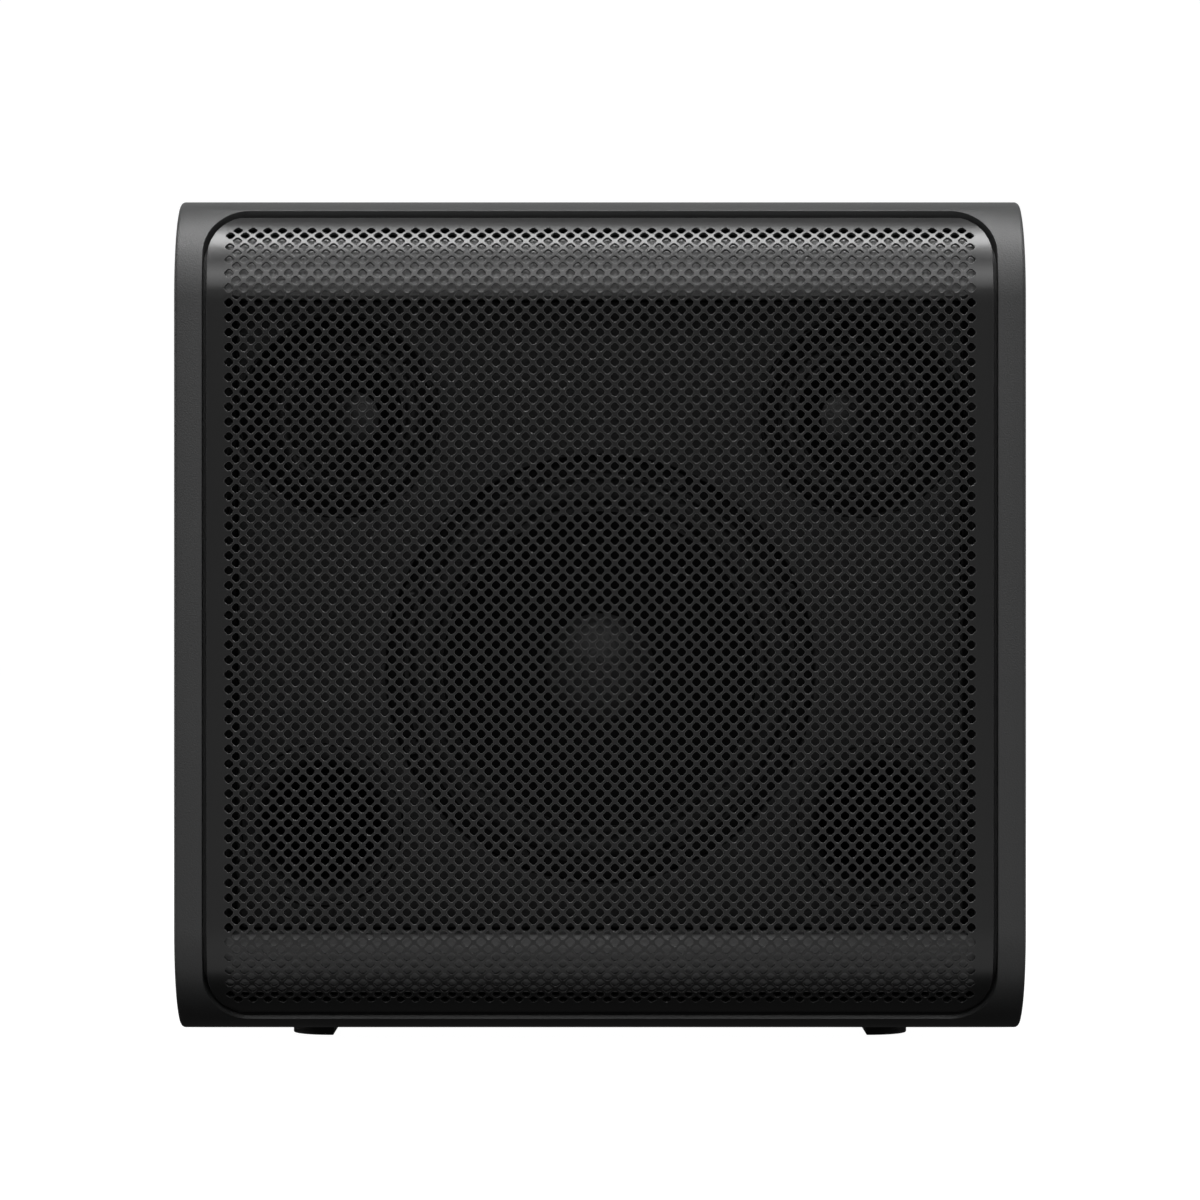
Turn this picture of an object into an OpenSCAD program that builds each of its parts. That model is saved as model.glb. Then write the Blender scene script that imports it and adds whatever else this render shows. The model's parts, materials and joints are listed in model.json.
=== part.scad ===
// Compact active subwoofer: a long-throw woofer, two small wide-range drivers
// and two reflex ports behind one curved perforated grille, amplifier at the back.
// +Z up, -Y towards the listener, origin in the middle of the footprint. Millimetres.

/* [Cabinet] */
// Width of the cabinet
body_w = 312; // [308:1:330]
// Depth of the cabinet, front to back
body_d = 282; // [278:1:320]
// Height of the cabinet above its feet
body_h = 308; // [304:1:330]
// Height that the feet lift the cabinet
foot_h = 4; // [3:0.5:8]
// Radius of the long curve along the top and bottom front edges
front_r = 38; // [34:1:42]
// Radius of the long curve along the top and bottom rear edges
rear_r = 12; // [6:1:16]
// Thickness of the cabinet's boards
wall_t = 9; // [8:0.5:12]
// Depth of the front bezel, from its face to the seam
bezel_d = 44; // [44:1:52]
// Thickness of the rear cover
cover_d = 20; // [18:1:24]

/* [Grille] */
// Width of the bezel's rail beside the grille
rail_w = 10.2; // [9:0.2:12]
// Height of the bezel's rail above and below the grille
rail_h = 4.5; // [4:0.1:5.5]
// Gap between the grille and the bezel
grille_gap = 1.7; // [1.2:0.1:2]
// How far the grille lies below the bezel's face
grille_set = 1.6; // [1.2:0.1:2]
// Thickness of the grille's sheet
grille_t = 1.1; // [0.8:0.1:1.2]
// Radius of the grille's corners
grille_r = 14.7; // [12:0.1:18]

/* [Baffle] */
// Depth of the baffle's face behind the front of the cabinet
baffle_depth = 23; // [23:0.5:26]
// Thickness of the baffle at its raised middle
baffle_t = 20; // [20:0.5:22]
// Width of the baffle's raised middle
plateau_w = 269.4; // [268:0.2:270]
// Height of the baffle's raised middle
plateau_h = 232; // [230:1:232]
// Height of each padded bar that backs the grille's curve
rest_h = 22; // [18:1:22]

/* [Woofer] */
// Height of the woofer's centre
woofer_z = 138; // [136:1:140]
// Radius of the opening that the woofer's frame lies in
woofer_open_r = 79.5; // [79.5:0.5:81]

/* [Small drivers] */
// Distance of each small driver's opening from the middle
pod_x = 96.6; // [96:0.2:97]
// Height of the small drivers
pod_z = 231.5; // [230:0.5:232]
// Radius of each small driver's opening
pod_open_r = 36.5; // [36:0.1:36.5]
// Outward tilt of each small driver
mid_tilt = 18; // [14:1:20]
// How far each small driver's centre is set inwards from its opening
mid_shift = 3; // [2:0.5:4]
// Depth of each small driver's centre behind the baffle's face
mid_depth = 13; // [12:0.5:14]

/* [Ports] */
// Distance of each reflex port from the middle
port_x = 103.1; // [102:0.1:104]
// Height of the reflex ports
port_z = 80; // [78:1:82]
// Inner radius of the port tubes
port_r = 22; // [20:0.5:22]
// Radius of the port mouth's flare
port_flare = 6; // [4:0.5:6]
// Length of the port tubes
port_len = 130; // [110:5:130]

/* [Amplifier] */
// Width of the amplifier panel
panel_w = 158; // [154:1:158]
// Height of the amplifier panel
panel_h = 178; // [174:1:178]
// Thickness of the amplifier panel
panel_t = 2.5; // [2:0.1:3]
// Radius of the rear knobs
knob_r = 11; // [9:0.5:12]

/* [Hidden] */
$fn = 96;
eps = 0.01;

// Planes across the cabinet, front to back
front_y = -body_d / 2;
baffle_y = front_y + baffle_depth;
board_t = 9;
board_back_y = baffle_y + baffle_t;
board_y = board_back_y - board_t;
seam_y = front_y + bezel_d;
back_y = body_d / 2;
cover_y = back_y - cover_d;
panel_y = back_y - 15;
panel_face_y = panel_y + panel_t;
knob_y = back_y - 0.7;

// Heights
body_top = foot_h + body_h;
mid_z = foot_h + body_h / 2;
open_w = body_w - 2 * rail_w;
open_h = body_h - 2 * rail_h;
grille_w = open_w - 2 * grille_gap;
grille_end_gap = 2.3;
grille_h = open_h - 2 * grille_end_gap;
groove_d = 7;
ledge = 6.3;
magnet_r = 1.8;
cavity_w = open_w - 2 * ledge;
cavity_h = 287;
rest_w = cavity_w - 1;
rest_z = plateau_h / 2 + 1 + rest_h / 2;
rest_set = grille_set + grille_t + 1.5;
cleat = 10;
inner_w = body_w - 2 * wall_t;
inner_h = body_h - 2 * wall_t;
cleat_w = inner_w - 2 * cleat;
cleat_h = inner_h - 2 * cleat;
cleat_t = 12;
brace_y = 20;
brace_t = 10;
brace_window_r = 64;
brace_port_r = 32;
foot_w = 16;
foot_l = 36;
foot_x = 108;
foot_y = 75;

// Woofer, in its own frame: z = 0 is the seat of its flange, +z faces forwards
woofer_seat = 9;
woofer_frame_r = woofer_open_r - 0.5;
woofer_screw_r = 75.7;
cone_edge_z = 4.2;
cone_t = 0.8;
coil_r = 18.7;
coil_t = 0.3;
winding_t = 0.7;
top_plate_z = -46;
magnet_z = -52;
magnet_back_z = -70;
yoke_t = 7;

// Small drivers, in their own frame: z = 0 is the seat of the flange
mid_frame_r = 34;
mid_screw_r = 31.4;
pod_len = 32;
chamber_len = 28;
pod_wall = 0.8;

// Amplifier panel: places are [x, z] on the panel
panel_z = 130;
board_size = [142, 120];
board_sheet = 1.6;
sink_size = [124, 36];
fin_pitch = 8.6;
volume_at = [48, 190];
crossover_at = [10, 190];
button_at = [-28, 190];
led_at = [-52, 190];
phase_at = [48, 152];
jacks_at = [[8, 152], [-14, 152]];
sink_at = [0, 112];
inlet_at = [-40, 65];
rocker_at = [42, 65];
button_r = 4;
shaft_r = 3;
shaft_fit = 0.05;
rocker_pivot_y = panel_face_y - 4.5;
rocker_rest = 10;
phase_rest = 2;
board_at_y = panel_y - 33;
board_z = 150;
post_x = 66;
post_z = [95, 205];

// Grip pocket in the rear cover: its mouth and the taller room behind it
grip_w = 110;
grip_z = 262;
grip_room_z = 267;

// ---- Shared shapes ----

// A plane outline (y, z) run along X
module extrude_x(w) rotate([90, 0, 90]) linear_extrude(w, center = true) children();

// A plane outline (x, z) run along Y from y0 to y1
module slab_y(y0, y1) translate([0, y1, 0]) rotate([90, 0, 0]) linear_extrude(y1 - y0) children();

// A round bar along Y from y0 to y1, at [x, z]
module bar_y(at, r, y0, y1) translate([at[0], y1, at[1]]) rotate([90, 0, 0]) cylinder(y1 - y0, r, r);

// A rectangular block centred on [x, z], from y0 to y1
module block_y(at, w, h, y0, y1) translate([at[0] - w / 2, y0, at[1] - h / 2]) cube([w, y1 - y0, h]);

module rounded_rect(w, h, r) {
    square([w - 2 * r, h], center = true);
    square([w, h - 2 * r], center = true);
    for (x = [-1, 1], z = [-1, 1])
        translate([x * (w / 2 - r), z * (h / 2 - r)]) circle(r);
}

// A rounded plate centred on [x, z], from y0 to y1
module plate_y(at, w, h, r, y0, y1) slab_y(y0, y1) translate(at) rounded_rect(w, h, r);

// Side outline of the cabinet's front, moved inwards by inset
module front_outline(inset) {
    intersection() {
        union() {
            translate([front_y + inset, foot_h + front_r])
                square([body_d, body_h - 2 * front_r]);
            translate([front_y + front_r, foot_h + inset])
                square([body_d, body_h - 2 * inset]);
            for (z = [foot_h + front_r, body_top - front_r])
                translate([front_y + front_r, z]) circle(front_r - inset);
        }
        translate([front_y, 0]) square([bezel_d, body_top]);
    }
}

// Side outline of the rear cover
module rear_outline() {
    translate([cover_y, foot_h]) square([cover_d - rear_r, body_h]);
    translate([cover_y, foot_h + rear_r]) square([cover_d, body_h - 2 * rear_r]);
    for (z = [foot_h + rear_r, body_top - rear_r]) intersection() {
        translate([back_y - rear_r, z]) circle(rear_r);
        translate([cover_y, foot_h]) square([cover_d, body_h]);
    }
}

// A screw whose head's top is at z = 0 and whose shank points down
module screw(head_r, head_h, shank_r, length) {
    difference() {
        translate([0, 0, -head_h]) cylinder(head_h, head_r, head_r);
        translate([0, 0, -head_h * 0.6]) cylinder(head_h, head_r * 0.5, head_r * 0.5, $fn = 6);
    }
    translate([0, 0, -length]) cylinder(length - head_h, shank_r, shank_r);
}

// Children at each of n places round a circle
module ring_of(n, r, start = 0) for (i = [0 : n - 1]) rotate(start + i * 360 / n) translate([r, 0, 0]) children();

// Places the woofer's own frame in the cabinet
module at_woofer() translate([0, baffle_y + woofer_seat, woofer_z]) rotate([90, 0, 0]) children();

// Places a small driver's own frame in the cabinet; side is -1 on the left, 1 on the right
module at_mid(side)
    translate([side * (pod_x - mid_shift), baffle_y + mid_depth, pod_z])
        rotate([90, 0, 0]) rotate([0, side * mid_tilt, 0]) children();

// Half of a round roll of sheet, seen in section, with a flat land on each side
module roll_section(r, roll, sheet, base, inner_land, outer_land) {
    difference() {
        translate([r, base]) circle(roll, $fn = 48);
        translate([r, base]) circle(roll - sheet, $fn = 48);
        translate([r - 2 * roll, base - 2 * roll]) square([4 * roll, 2 * roll]);
    }
    translate([inner_land, base]) square([r - roll + sheet - inner_land, sheet]);
    translate([r + roll - sheet, base - sheet + 0.2]) square([outer_land - r - roll + sheet, sheet]);
}

// ---- Cabinet ----

module front_bezel() color("dimgray") difference() {
    extrude_x(body_w) front_outline(0);
    difference() {
        plate_y([0, mid_z], open_w, open_h, grille_r + grille_gap, front_y - 1, board_y);
        extrude_x(body_w + 2) front_outline(grille_set + grille_t);
    }
    plate_y([0, mid_z], cavity_w, cavity_h, 8, front_y - 1, seam_y + 1);
    block_y([0, mid_z], inner_w + 2, inner_h + 2, board_y, seam_y + 1);
    grille_groove();
    magnet_places(magnet_r + 0.1);
}

// Narrow groove round the grille's edge, deeper than the ledge it rests on
module grille_groove() difference() {
    plate_y([0, mid_z], open_w, open_h, grille_r + grille_gap, front_y - 1, board_y);
    plate_y([0, mid_z], grille_w, grille_h, grille_r, front_y - 2, board_y + 1);
    extrude_x(body_w + 2) front_outline(groove_d);
}

// Pockets and magnets in the bezel's ledge, three a side, hidden by the grille's edge
module magnet_places(r)
    for (x = [-1, 1], z = [-95, 0, 95])
        bar_y([x * (cavity_w / 2 + 2.4), mid_z + z], r, front_y + grille_set + grille_t,
            front_y + grille_set + grille_t + 3);

module grille_magnets() color("silver") magnet_places(magnet_r);

module cabinet_shell() color("dimgray") difference() {
    block_y([0, mid_z], body_w, body_h, seam_y, cover_y);
    block_y([0, mid_z], cleat_w, cleat_h, seam_y - 1, cover_y + 1);
    block_y([0, mid_z], inner_w, inner_h, seam_y + cleat_t, cover_y - cleat_t);
    baffle_screw_places() translate([0, 0, -18]) cylinder(20, 1.9, 1.9);
    cover_screw_places() translate([0, 0, -32]) cylinder(20, 1.9, 1.9);
    for (x = [-1, 1], y = [-1, 1])
        translate([x * foot_x, y * foot_y, foot_h - 1]) cylinder(7, 3.9, 3.9);
}

// Window board that ties the four sides together
module cabinet_brace() color("tan") difference() {
    block_y([0, mid_z], inner_w - 0.4, inner_h - 0.4, brace_y, brace_y + brace_t);
    bar_y([0, mid_z], brace_window_r, brace_y - 1, brace_y + brace_t + 1);
    for (x = [-1, 1], z = [port_z, 2 * mid_z - port_z])
        bar_y([x * port_x, z], brace_port_r, brace_y - 1, brace_y + brace_t + 1);
}

// Long pads with one round outer corner, each on a moulded peg
module rubber_feet() color("black")
    for (x = [-1, 1], y = [-1, 1]) translate([x * foot_x, y * foot_y, 0]) {
        linear_extrude(foot_h) to_corner(x, y) foot_outline();
        translate([0, 0, foot_h]) cylinder(5, 3.8, 3.8);
    }

module to_corner(x, y) mirror([x < 0 ? 1 : 0, 0]) mirror([0, y < 0 ? 1 : 0]) children();

module foot_outline() {
    corner = foot_w - 0.5;
    translate([-foot_w / 2, -foot_l / 2]) square([foot_w, foot_l - corner]);
    translate([-foot_w / 2, -foot_l / 2]) square([foot_w - corner, foot_l]);
    intersection() {
        translate([foot_w / 2 - corner, foot_l / 2 - corner]) circle(corner);
        translate([-foot_w / 2, -foot_l / 2]) square([foot_w, foot_l]);
    }
}

// ---- Grille ----

// Curved sheet of perforated steel; its fine perforation is left out here
module grille() color("gray") intersection() {
    extrude_x(grille_w) difference() {
        front_outline(grille_set);
        front_outline(grille_set + grille_t);
    }
    plate_y([0, mid_z], grille_w, grille_h, grille_r, front_y - 1, board_y);
}

// Padded bar behind the grille's curve; side is 1 at the top, -1 at the bottom
module grille_rest(side) color("darkslategray") intersection() {
    extrude_x(rest_w) front_outline(rest_set);
    plate_y([0, mid_z + side * rest_z], rest_w, rest_h, 6.5, front_y, board_y);
}

// ---- Baffle ----

module front_baffle() color("darkslategray") difference() {
    union() {
        block_y([0, mid_z], inner_w + 1, inner_h + 1, board_y, board_back_y);
        plate_y([0, mid_z], plateau_w, plateau_h, 4, baffle_y, board_y + 1);
    }
    bar_y([0, woofer_z], woofer_open_r, baffle_y - 1, baffle_y + woofer_seat);
    bar_y([0, woofer_z], 72, baffle_y, board_back_y + 1);
    at_woofer() ring_of(8, woofer_screw_r, 22.5) translate([0, 0, -9]) cylinder(10, 1.8, 1.8);
    for (x = [-1, 1]) {
        bar_y([x * pod_x, pod_z], pod_open_r + 1, baffle_y - 1, board_back_y + 1);
        bar_y([x * port_x, port_z], port_r + port_flare + 2.2, baffle_y - 1, board_back_y + 1);
    }
    baffle_screw_places() {
        translate([0, 0, -12]) cylinder(20, 2, 2);
        translate([0, 0, -2.2]) cylinder(3, 3.8, 3.8);
    }
}

module baffle_gasket() color("black") difference() {
    block_y([0, mid_z], inner_w, inner_h, board_back_y, seam_y);
    block_y([0, mid_z], cleat_w + 2, cleat_h + 2, board_back_y - 1, seam_y + 1);
    baffle_screw_places() translate([0, 0, -18]) cylinder(20, 2.2, 2.2);
}

// Frames at the baffle's screws, looking forwards
module baffle_screw_places() {
    for (x = [-1, 1], z = [-1, -0.33, 0.33, 1])
        translate([x * (inner_w - cleat) / 2, board_y, mid_z + z * 120]) rotate([90, 0, 0]) children();
    for (z = [-1, 1])
        translate([0, board_y, mid_z + z * (inner_h - cleat) / 2]) rotate([90, 0, 0]) children();
}

module baffle_screws() color("dimgray") baffle_screw_places() screw(3.6, 2.2, 1.8, 17);

// ---- Woofer ----

module woofer_basket() color("black") at_woofer() difference() {
    rotate_extrude() polygon([
        [woofer_frame_r, 1.2], [woofer_frame_r, 4.2], [71, 4.2], [69.5, 0], [66, -8],
        [53, -26.2], [45, -26.2], [43.5, -42], [43.5, -44], [22, -44],
        [22, -46], [45, -46], [47, -28], [54.5, -28], [68, -8.5], [71.3, 1.2]
    ]);
    for (i = [0 : 5]) rotate(i * 60 + 30) translate([40, -17, -24]) cube([40, 34, 13]);
    ring_of(8, woofer_screw_r, 22.5) cylinder(12, 2.1, 2.1, center = true);
}

module woofer_gasket() color("black") at_woofer() difference() {
    cylinder(1.2, woofer_frame_r, woofer_frame_r);
    translate([0, 0, -1]) cylinder(4, 72.3, 72.3);
    ring_of(8, woofer_screw_r, 22.5) translate([0, 0, -1]) cylinder(4, 2.2, 2.2);
}

module woofer_surround() color("dimgray") at_woofer() rotate_extrude()
    roll_section(66, 5, 1, cone_edge_z + cone_t, 58.5, 72.6);

// Corrugated cloth disc between the coil and the basket's shelf
module woofer_spider() color("goldenrod") at_woofer() rotate_extrude() {
    mid = -25.2;
    wave = [for (i = [0 : 36]) let (r = 22 + i * 0.6) [r, mid + 1.3 * sin(i * 45)]];
    polygon(concat(
        [[19.1, mid + 0.35]], [for (p = wave) p + [0, 0.35]],
        [[45.4, mid - 0.3], [51.5, mid - 0.3], [51.5, mid - 1], [45.2, mid - 1]],
        [for (i = [36 : -1 : 0]) wave[i] - [0, 0.35]],
        [[19.1, mid - 0.35]]));
}

module woofer_top_plate() color("silver") at_woofer() translate([0, 0, magnet_z]) difference() {
    cylinder(top_plate_z - magnet_z, 45, 45);
    translate([0, 0, -1]) cylinder(10, coil_r + coil_t + winding_t + 0.5, coil_r + coil_t + winding_t + 0.5);
}

module woofer_magnet() color("dimgray") at_woofer() translate([0, 0, magnet_back_z]) difference() {
    cylinder(magnet_z - magnet_back_z, 44, 44);
    translate([0, 0, -1]) cylinder(30, 24, 24);
}

module woofer_yoke() color("silver") at_woofer() difference() {
    union() {
        translate([0, 0, magnet_back_z - yoke_t]) cylinder(yoke_t, 42, 42);
        translate([0, 0, magnet_back_z - 1]) cylinder(top_plate_z - magnet_back_z + 1, coil_r - 0.4, coil_r - 0.4);
    }
    translate([0, 0, magnet_back_z - yoke_t - 1]) cylinder(50, 5, 5);
}

// Insulating strip with two tabs, on the basket's lower leg
module woofer_terminals() {
    color("saddlebrown") translate([-13, -71, woofer_z - 60]) cube([26, 2, 14]);
    color("gold") for (x = [-7, 7]) translate([x - 2, -69, woofer_z - 56]) cube([4, 9, 0.8]);
}

module driver_screws() color("dimgray") {
    at_woofer() translate([0, 0, 6.2]) ring_of(8, woofer_screw_r, 22.5) screw(2.9, 2, 1.7, 14);
    for (side = [-1, 1])
        at_mid(side) translate([0, 0, 2.8]) ring_of(4, mid_screw_r, 45) screw(1.7, 1.2, 0.9, 8);
}

module woofer_cone() color("dimgray") at_woofer() rotate_extrude() polygon([
    [61, cone_edge_z], [61, cone_edge_z + cone_t], [58, cone_edge_z + cone_t],
    [coil_r + coil_t, -19.2], [coil_r + coil_t, -20.1], [58.1, cone_edge_z]
]);

// Shell cut from a ball: base radius, height of the crown and thickness of the sheet
module dome(base_r, crown, sheet) {
    ball = (base_r * base_r + crown * crown) / (2 * crown);
    rotate_extrude() intersection() {
        translate([0, crown - ball]) difference() {
            circle(ball, $fn = 180);
            circle(ball - sheet, $fn = 180);
        }
        square([base_r, crown + 1]);
    }
}

module woofer_dust_cap() color("dimgray") at_woofer() translate([0, 0, -17.9]) dome(20.5, 6.5, 0.6);

module woofer_voice_coil() color("peru") at_woofer() rotate_extrude() {
    translate([coil_r, -58]) square([coil_t, 38]);
    translate([coil_r + coil_t - eps, -57]) square([winding_t, 16]);
}

// ---- Small drivers: side is -1 on the left, 1 on the right ----

// Slanting funnel between the round opening and the tilted driver
module mid_pod(side) color("dimgray") difference() {
    bar_y([side * pod_x, pod_z], pod_open_r + pod_wall, baffle_y, baffle_y + pod_len);
    hull() {
        bar_y([side * pod_x, pod_z], pod_open_r, baffle_y - 0.2, baffle_y - 0.1, $fn = 48);
        at_mid(side) translate([0, 0, 1.7]) cylinder(0.1, 33, 33, $fn = 48);
    }
    at_mid(side) {
        cylinder(4, mid_frame_r + 0.2, mid_frame_r + 0.2);
        translate([0, 0, -15]) cylinder(15 + eps, 20.5, 29.5);
        translate([0, 0, -30]) cylinder(16, 20.5, 20.5);
        ring_of(4, mid_screw_r, 45) translate([0, 0, -6]) cylinder(7, 1, 1);
    }
}

// Closed cup that keeps the woofer's pressure off the small driver
module mid_chamber(side) color("black") difference() {
    bar_y([side * pod_x, pod_z], pod_open_r + pod_wall, baffle_y + pod_len, baffle_y + pod_len + chamber_len);
    bar_y([side * pod_x, pod_z], pod_open_r - 1.7, baffle_y + pod_len - 1, baffle_y + pod_len + chamber_len - 2.5);
}

module mid_basket(side) color("black") at_mid(side) difference() {
    rotate_extrude() polygon([
        [mid_frame_r, 0], [mid_frame_r, 1.6], [28.4, 1.6], [28, 0], [18.4, -12.6], [9, -12.6],
        [9, -14], [19, -14], [28.6, -1], [29.2, 0]
    ]);
    for (i = [0 : 3]) rotate(i * 90) translate([14, -8, -11]) cube([20, 16, 7]);
    ring_of(4, mid_screw_r, 45) cylinder(6, 1.1, 1.1, center = true);
}

module mid_surround(side) color("dimgray") at_mid(side) rotate_extrude()
    roll_section(26, 2.6, 0.6, 2, 22.2, 29.6);

module mid_cone(side) color("dimgray") at_mid(side) rotate_extrude() polygon([
    [23.6, 1.4], [23.6, 2], [21.5, 2], [8.1, -6], [8.1, -6.7], [21.6, 1.4]
]);

module mid_dust_cap(side) color("dimgray") at_mid(side) translate([0, 0, -4.7]) dome(10, 3.4, 0.5);

module mid_voice_coil(side) color("peru") at_mid(side) rotate_extrude() {
    translate([7.5, -20]) square([0.3, 13.2]);
    translate([7.8 - eps, -19.5]) square([0.5, 7]);
}

module mid_motor(side) color("silver") at_mid(side) rotate_extrude() polygon([
    [2, -26], [16, -26], [16, -14], [8.8, -14], [8.8, -17], [12, -17],
    [12, -23], [7.1, -23], [7.1, -14], [2, -14]
]);

// ---- Reflex ports ----

module port_tube(side) color("black")
    translate([side * port_x, baffle_y, port_z]) rotate([90, 0, 0]) rotate_extrude() {
        mouth = port_r + port_flare;
        difference() {
            translate([port_r, -12]) square([port_flare + 2, 12]);
            difference() {
                translate([port_r - 1, -port_flare]) square([port_flare + 1, port_flare + 1]);
                translate([mouth, -port_flare]) circle(port_flare);
            }
        }
        translate([port_r, -port_len]) square([2.5, port_len - 12 + eps]);
    }

// ---- Rear cover ----

module rear_cover() color("dimgray") difference() {
    union() {
        extrude_x(body_w) rear_outline();
        plate_y([0, grip_room_z], grip_w + 8, 42, 10, cover_y - 16, cover_y + 1);
    }
    block_y([0, panel_z], panel_w + 2, panel_h + 2, panel_y, back_y + 1);
    block_y([0, panel_z], panel_w - 12, panel_h - 14, cover_y - 1, back_y);
    plate_y([0, grip_z], grip_w, 26, 8, cover_y - 10, back_y + 1);
    plate_y([0, grip_room_z], grip_w, 36, 8, cover_y - 13, back_y - 9);
    cover_screw_places() {
        translate([0, 0, -30]) cylinder(40, 2.1, 2.1);
        translate([0, 0, -3.5]) cylinder(10, 4, 4);
    }
    panel_screw_places() translate([0, 0, -10]) cylinder(12, 1.5, 1.5);
}

// Frames at the rear cover's screws, looking backwards
module cover_screw_places()
    for (p = [[-1, -1], [-1, 0], [-1, 1], [1, -1], [1, 0], [1, 1], [0, 1.075], [0, -1.075]])
        translate([p[0] * 145.5, back_y, mid_z + p[1] * 132]) rotate([-90, 0, 0]) children();

module panel_screw_places()
    for (x = [-1, 1], z = [-84, -28, 28, 84])
        translate([x * (panel_w / 2 - 3.2), panel_face_y, panel_z + z]) rotate([-90, 0, 0]) children();

module rear_screws() color("dimgray") {
    cover_screw_places() translate([0, 0, -0.6]) screw(3.7, 2.6, 1.8, 30);
    panel_screw_places() translate([0, 0, 1.6]) screw(2.8, 1.6, 1.4, 11);
}

// ---- Amplifier ----

module amp_panel() color("black") {
    difference() {
        block_y([0, panel_z], panel_w, panel_h, panel_y, panel_face_y);
        for (p = [volume_at, crossover_at]) bar_y(p, 3.9, panel_y - 1, panel_face_y + 1);
        bar_y(button_at, button_r + 0.4, panel_y - 1, panel_face_y + 1);
        bar_y(led_at, 2.5, panel_y - 1, panel_face_y + 1);
        for (p = jacks_at) bar_y(p, 4.3, panel_y - 1, panel_face_y + 1);
        block_y(phase_at, 12.4, 6.4, panel_y - 1, panel_face_y + 1);
        block_y(inlet_at, 27.4, 20, panel_y - 1, panel_face_y + 1);
        block_y(rocker_at, 20.4, 28.4, panel_y - 1, panel_face_y + 1);
        panel_screw_places() cylinder(10, 1.6, 1.6, center = true);
    }
    for (x = [-1, 1], z = post_z) bar_y([x * post_x, z], 3, board_at_y + board_sheet, panel_y);
}

// Finned plate on the outside of the panel
module heatsink() color("black") {
    block_y(sink_at, sink_size[0], sink_size[1], panel_face_y, panel_face_y + 3);
    for (i = [-7 : 7])
        block_y([sink_at[0] + i * fin_pitch, sink_at[1]], 1.8, sink_size[1], panel_face_y + 3 - eps, panel_face_y + 11);
}

module amp_board() color("darkgreen") difference() {
    block_y([0, board_z], board_size[0], board_size[1], board_at_y, board_at_y + board_sheet);
    for (x = [-1, 1], z = post_z) bar_y([x * post_x, z], 1.6, board_at_y - 1, board_at_y + 3);
}

// Ring transformer on the cabinet's floor
module transformer() color("goldenrod") translate([0, 72, foot_h + wall_t]) difference() {
    cylinder(30, 35, 35);
    translate([0, 0, -1]) cylinder(32, 11, 11);
}

module capacitors() color("midnightblue")
    for (x = [-40, -12]) bar_y([x, 170], 11, board_at_y - 30, board_at_y);

// Knob with its own shaft, which turns in the potentiometer
module knob(at) color("black") {
    difference() {
        bar_y(at, knob_r, panel_face_y + 0.8, knob_y);
        block_y([at[0], at[1] + knob_r - 3], 1.4, 5, knob_y - 0.6, knob_y + 1);
        for (a = [0 : 15 : 345])
            translate([at[0] + (knob_r + 0.35) * cos(a + 7.5), knob_y + 1, at[1] + (knob_r + 0.35) * sin(a + 7.5)])
                rotate([90, 0, 0]) cylinder(8, 0.7, 0.7, $fn = 16);
    }
    bar_y(at, shaft_r, panel_y - 8, panel_face_y + 1);
}

module potentiometers() color("silver") for (p = [volume_at, crossover_at]) difference() {
    union() {
        block_y(p, 16, 16, panel_y - 9, panel_y);
        bar_y(p, 3.7, panel_y - 1, panel_face_y);
    }
    bar_y(p, shaft_r + shaft_fit, panel_y - 8.5, panel_face_y + 1);
}

module phase_switch() color("white")
    block_y([phase_at[0] - phase_rest, phase_at[1]], 6.6, 4.8, panel_y - 6, panel_face_y + 3);

module switch_housing() color("silver") difference() {
    block_y(phase_at, 17, 9, panel_y - 9, panel_y);
    block_y(phase_at, 12.4, 6.4, panel_y - 7, panel_y + 1);
}

// Rocker modelled as it rests, tipped about its pin
module power_rocker() color("black")
    translate([rocker_at[0], rocker_pivot_y, rocker_at[1]]) rotate([-rocker_rest, 0, 0]) {
        extrude_x(16.2) polygon([[7, -10.4], [5.4, 0], [7, 10.4], [2, 10.6], [-3, 8], [-3, -8], [2, -10.6]]);
        extrude_x(19.2) circle(1.5);
    }

module rocker_housing() color("black") difference() {
    union() {
        block_y(rocker_at, 20, 28, panel_y - 22, panel_face_y + 1);
        plate_y(rocker_at, 24, 32, 2, panel_face_y, panel_face_y + 2);
    }
    block_y(rocker_at, 17, 24.6, panel_y - 12, panel_face_y + 3);
    translate([rocker_at[0], rocker_pivot_y, rocker_at[1]]) extrude_x(19.4) circle(1.5 + shaft_fit);
}

module pair_button() color("gray") {
    bar_y(button_at, button_r, panel_y - 3, panel_face_y + 2.2);
    bar_y(button_at, button_r + 1.2, panel_y - 5, panel_y - 1);
}

// Three-blade mains socket
module mains_inlet() color("black") difference() {
    union() {
        block_y(inlet_at, 27, 19.6, panel_y - 24, panel_face_y + 1);
        plate_y(inlet_at, 50, 24, 4, panel_face_y, panel_face_y + 3);
    }
    difference() {
        block_y(inlet_at, 24.2, 17, panel_y - 14, panel_face_y + 4);
        for (p = [[-7, -2], [7, -2], [0, 2]])
            block_y(inlet_at + p, 2, 4, panel_y - 15, panel_y);
    }
    for (x = [-20, 20]) bar_y(inlet_at + [x, 0], 1.7, panel_y, panel_face_y + 4);
}

module phono_jacks() color("silver") {
    for (p = jacks_at) difference() {
        union() {
            bar_y(p, 4.15, panel_y - 8, panel_face_y + 10);
            bar_y(p, 6, panel_face_y, panel_face_y + 1.5);
        }
        bar_y(p, 1.7, panel_face_y, panel_face_y + 11);
    }
}

module status_led() color("white") {
    bar_y(led_at, 2.4, panel_y - 5, panel_face_y + 0.4);
    translate([led_at[0], panel_face_y + 0.4, led_at[1]]) intersection() {
        sphere(2.4);
        translate([-3, 0, -3]) cube([6, 3, 6]);
    }
}

// ---- Wiring ----

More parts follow.
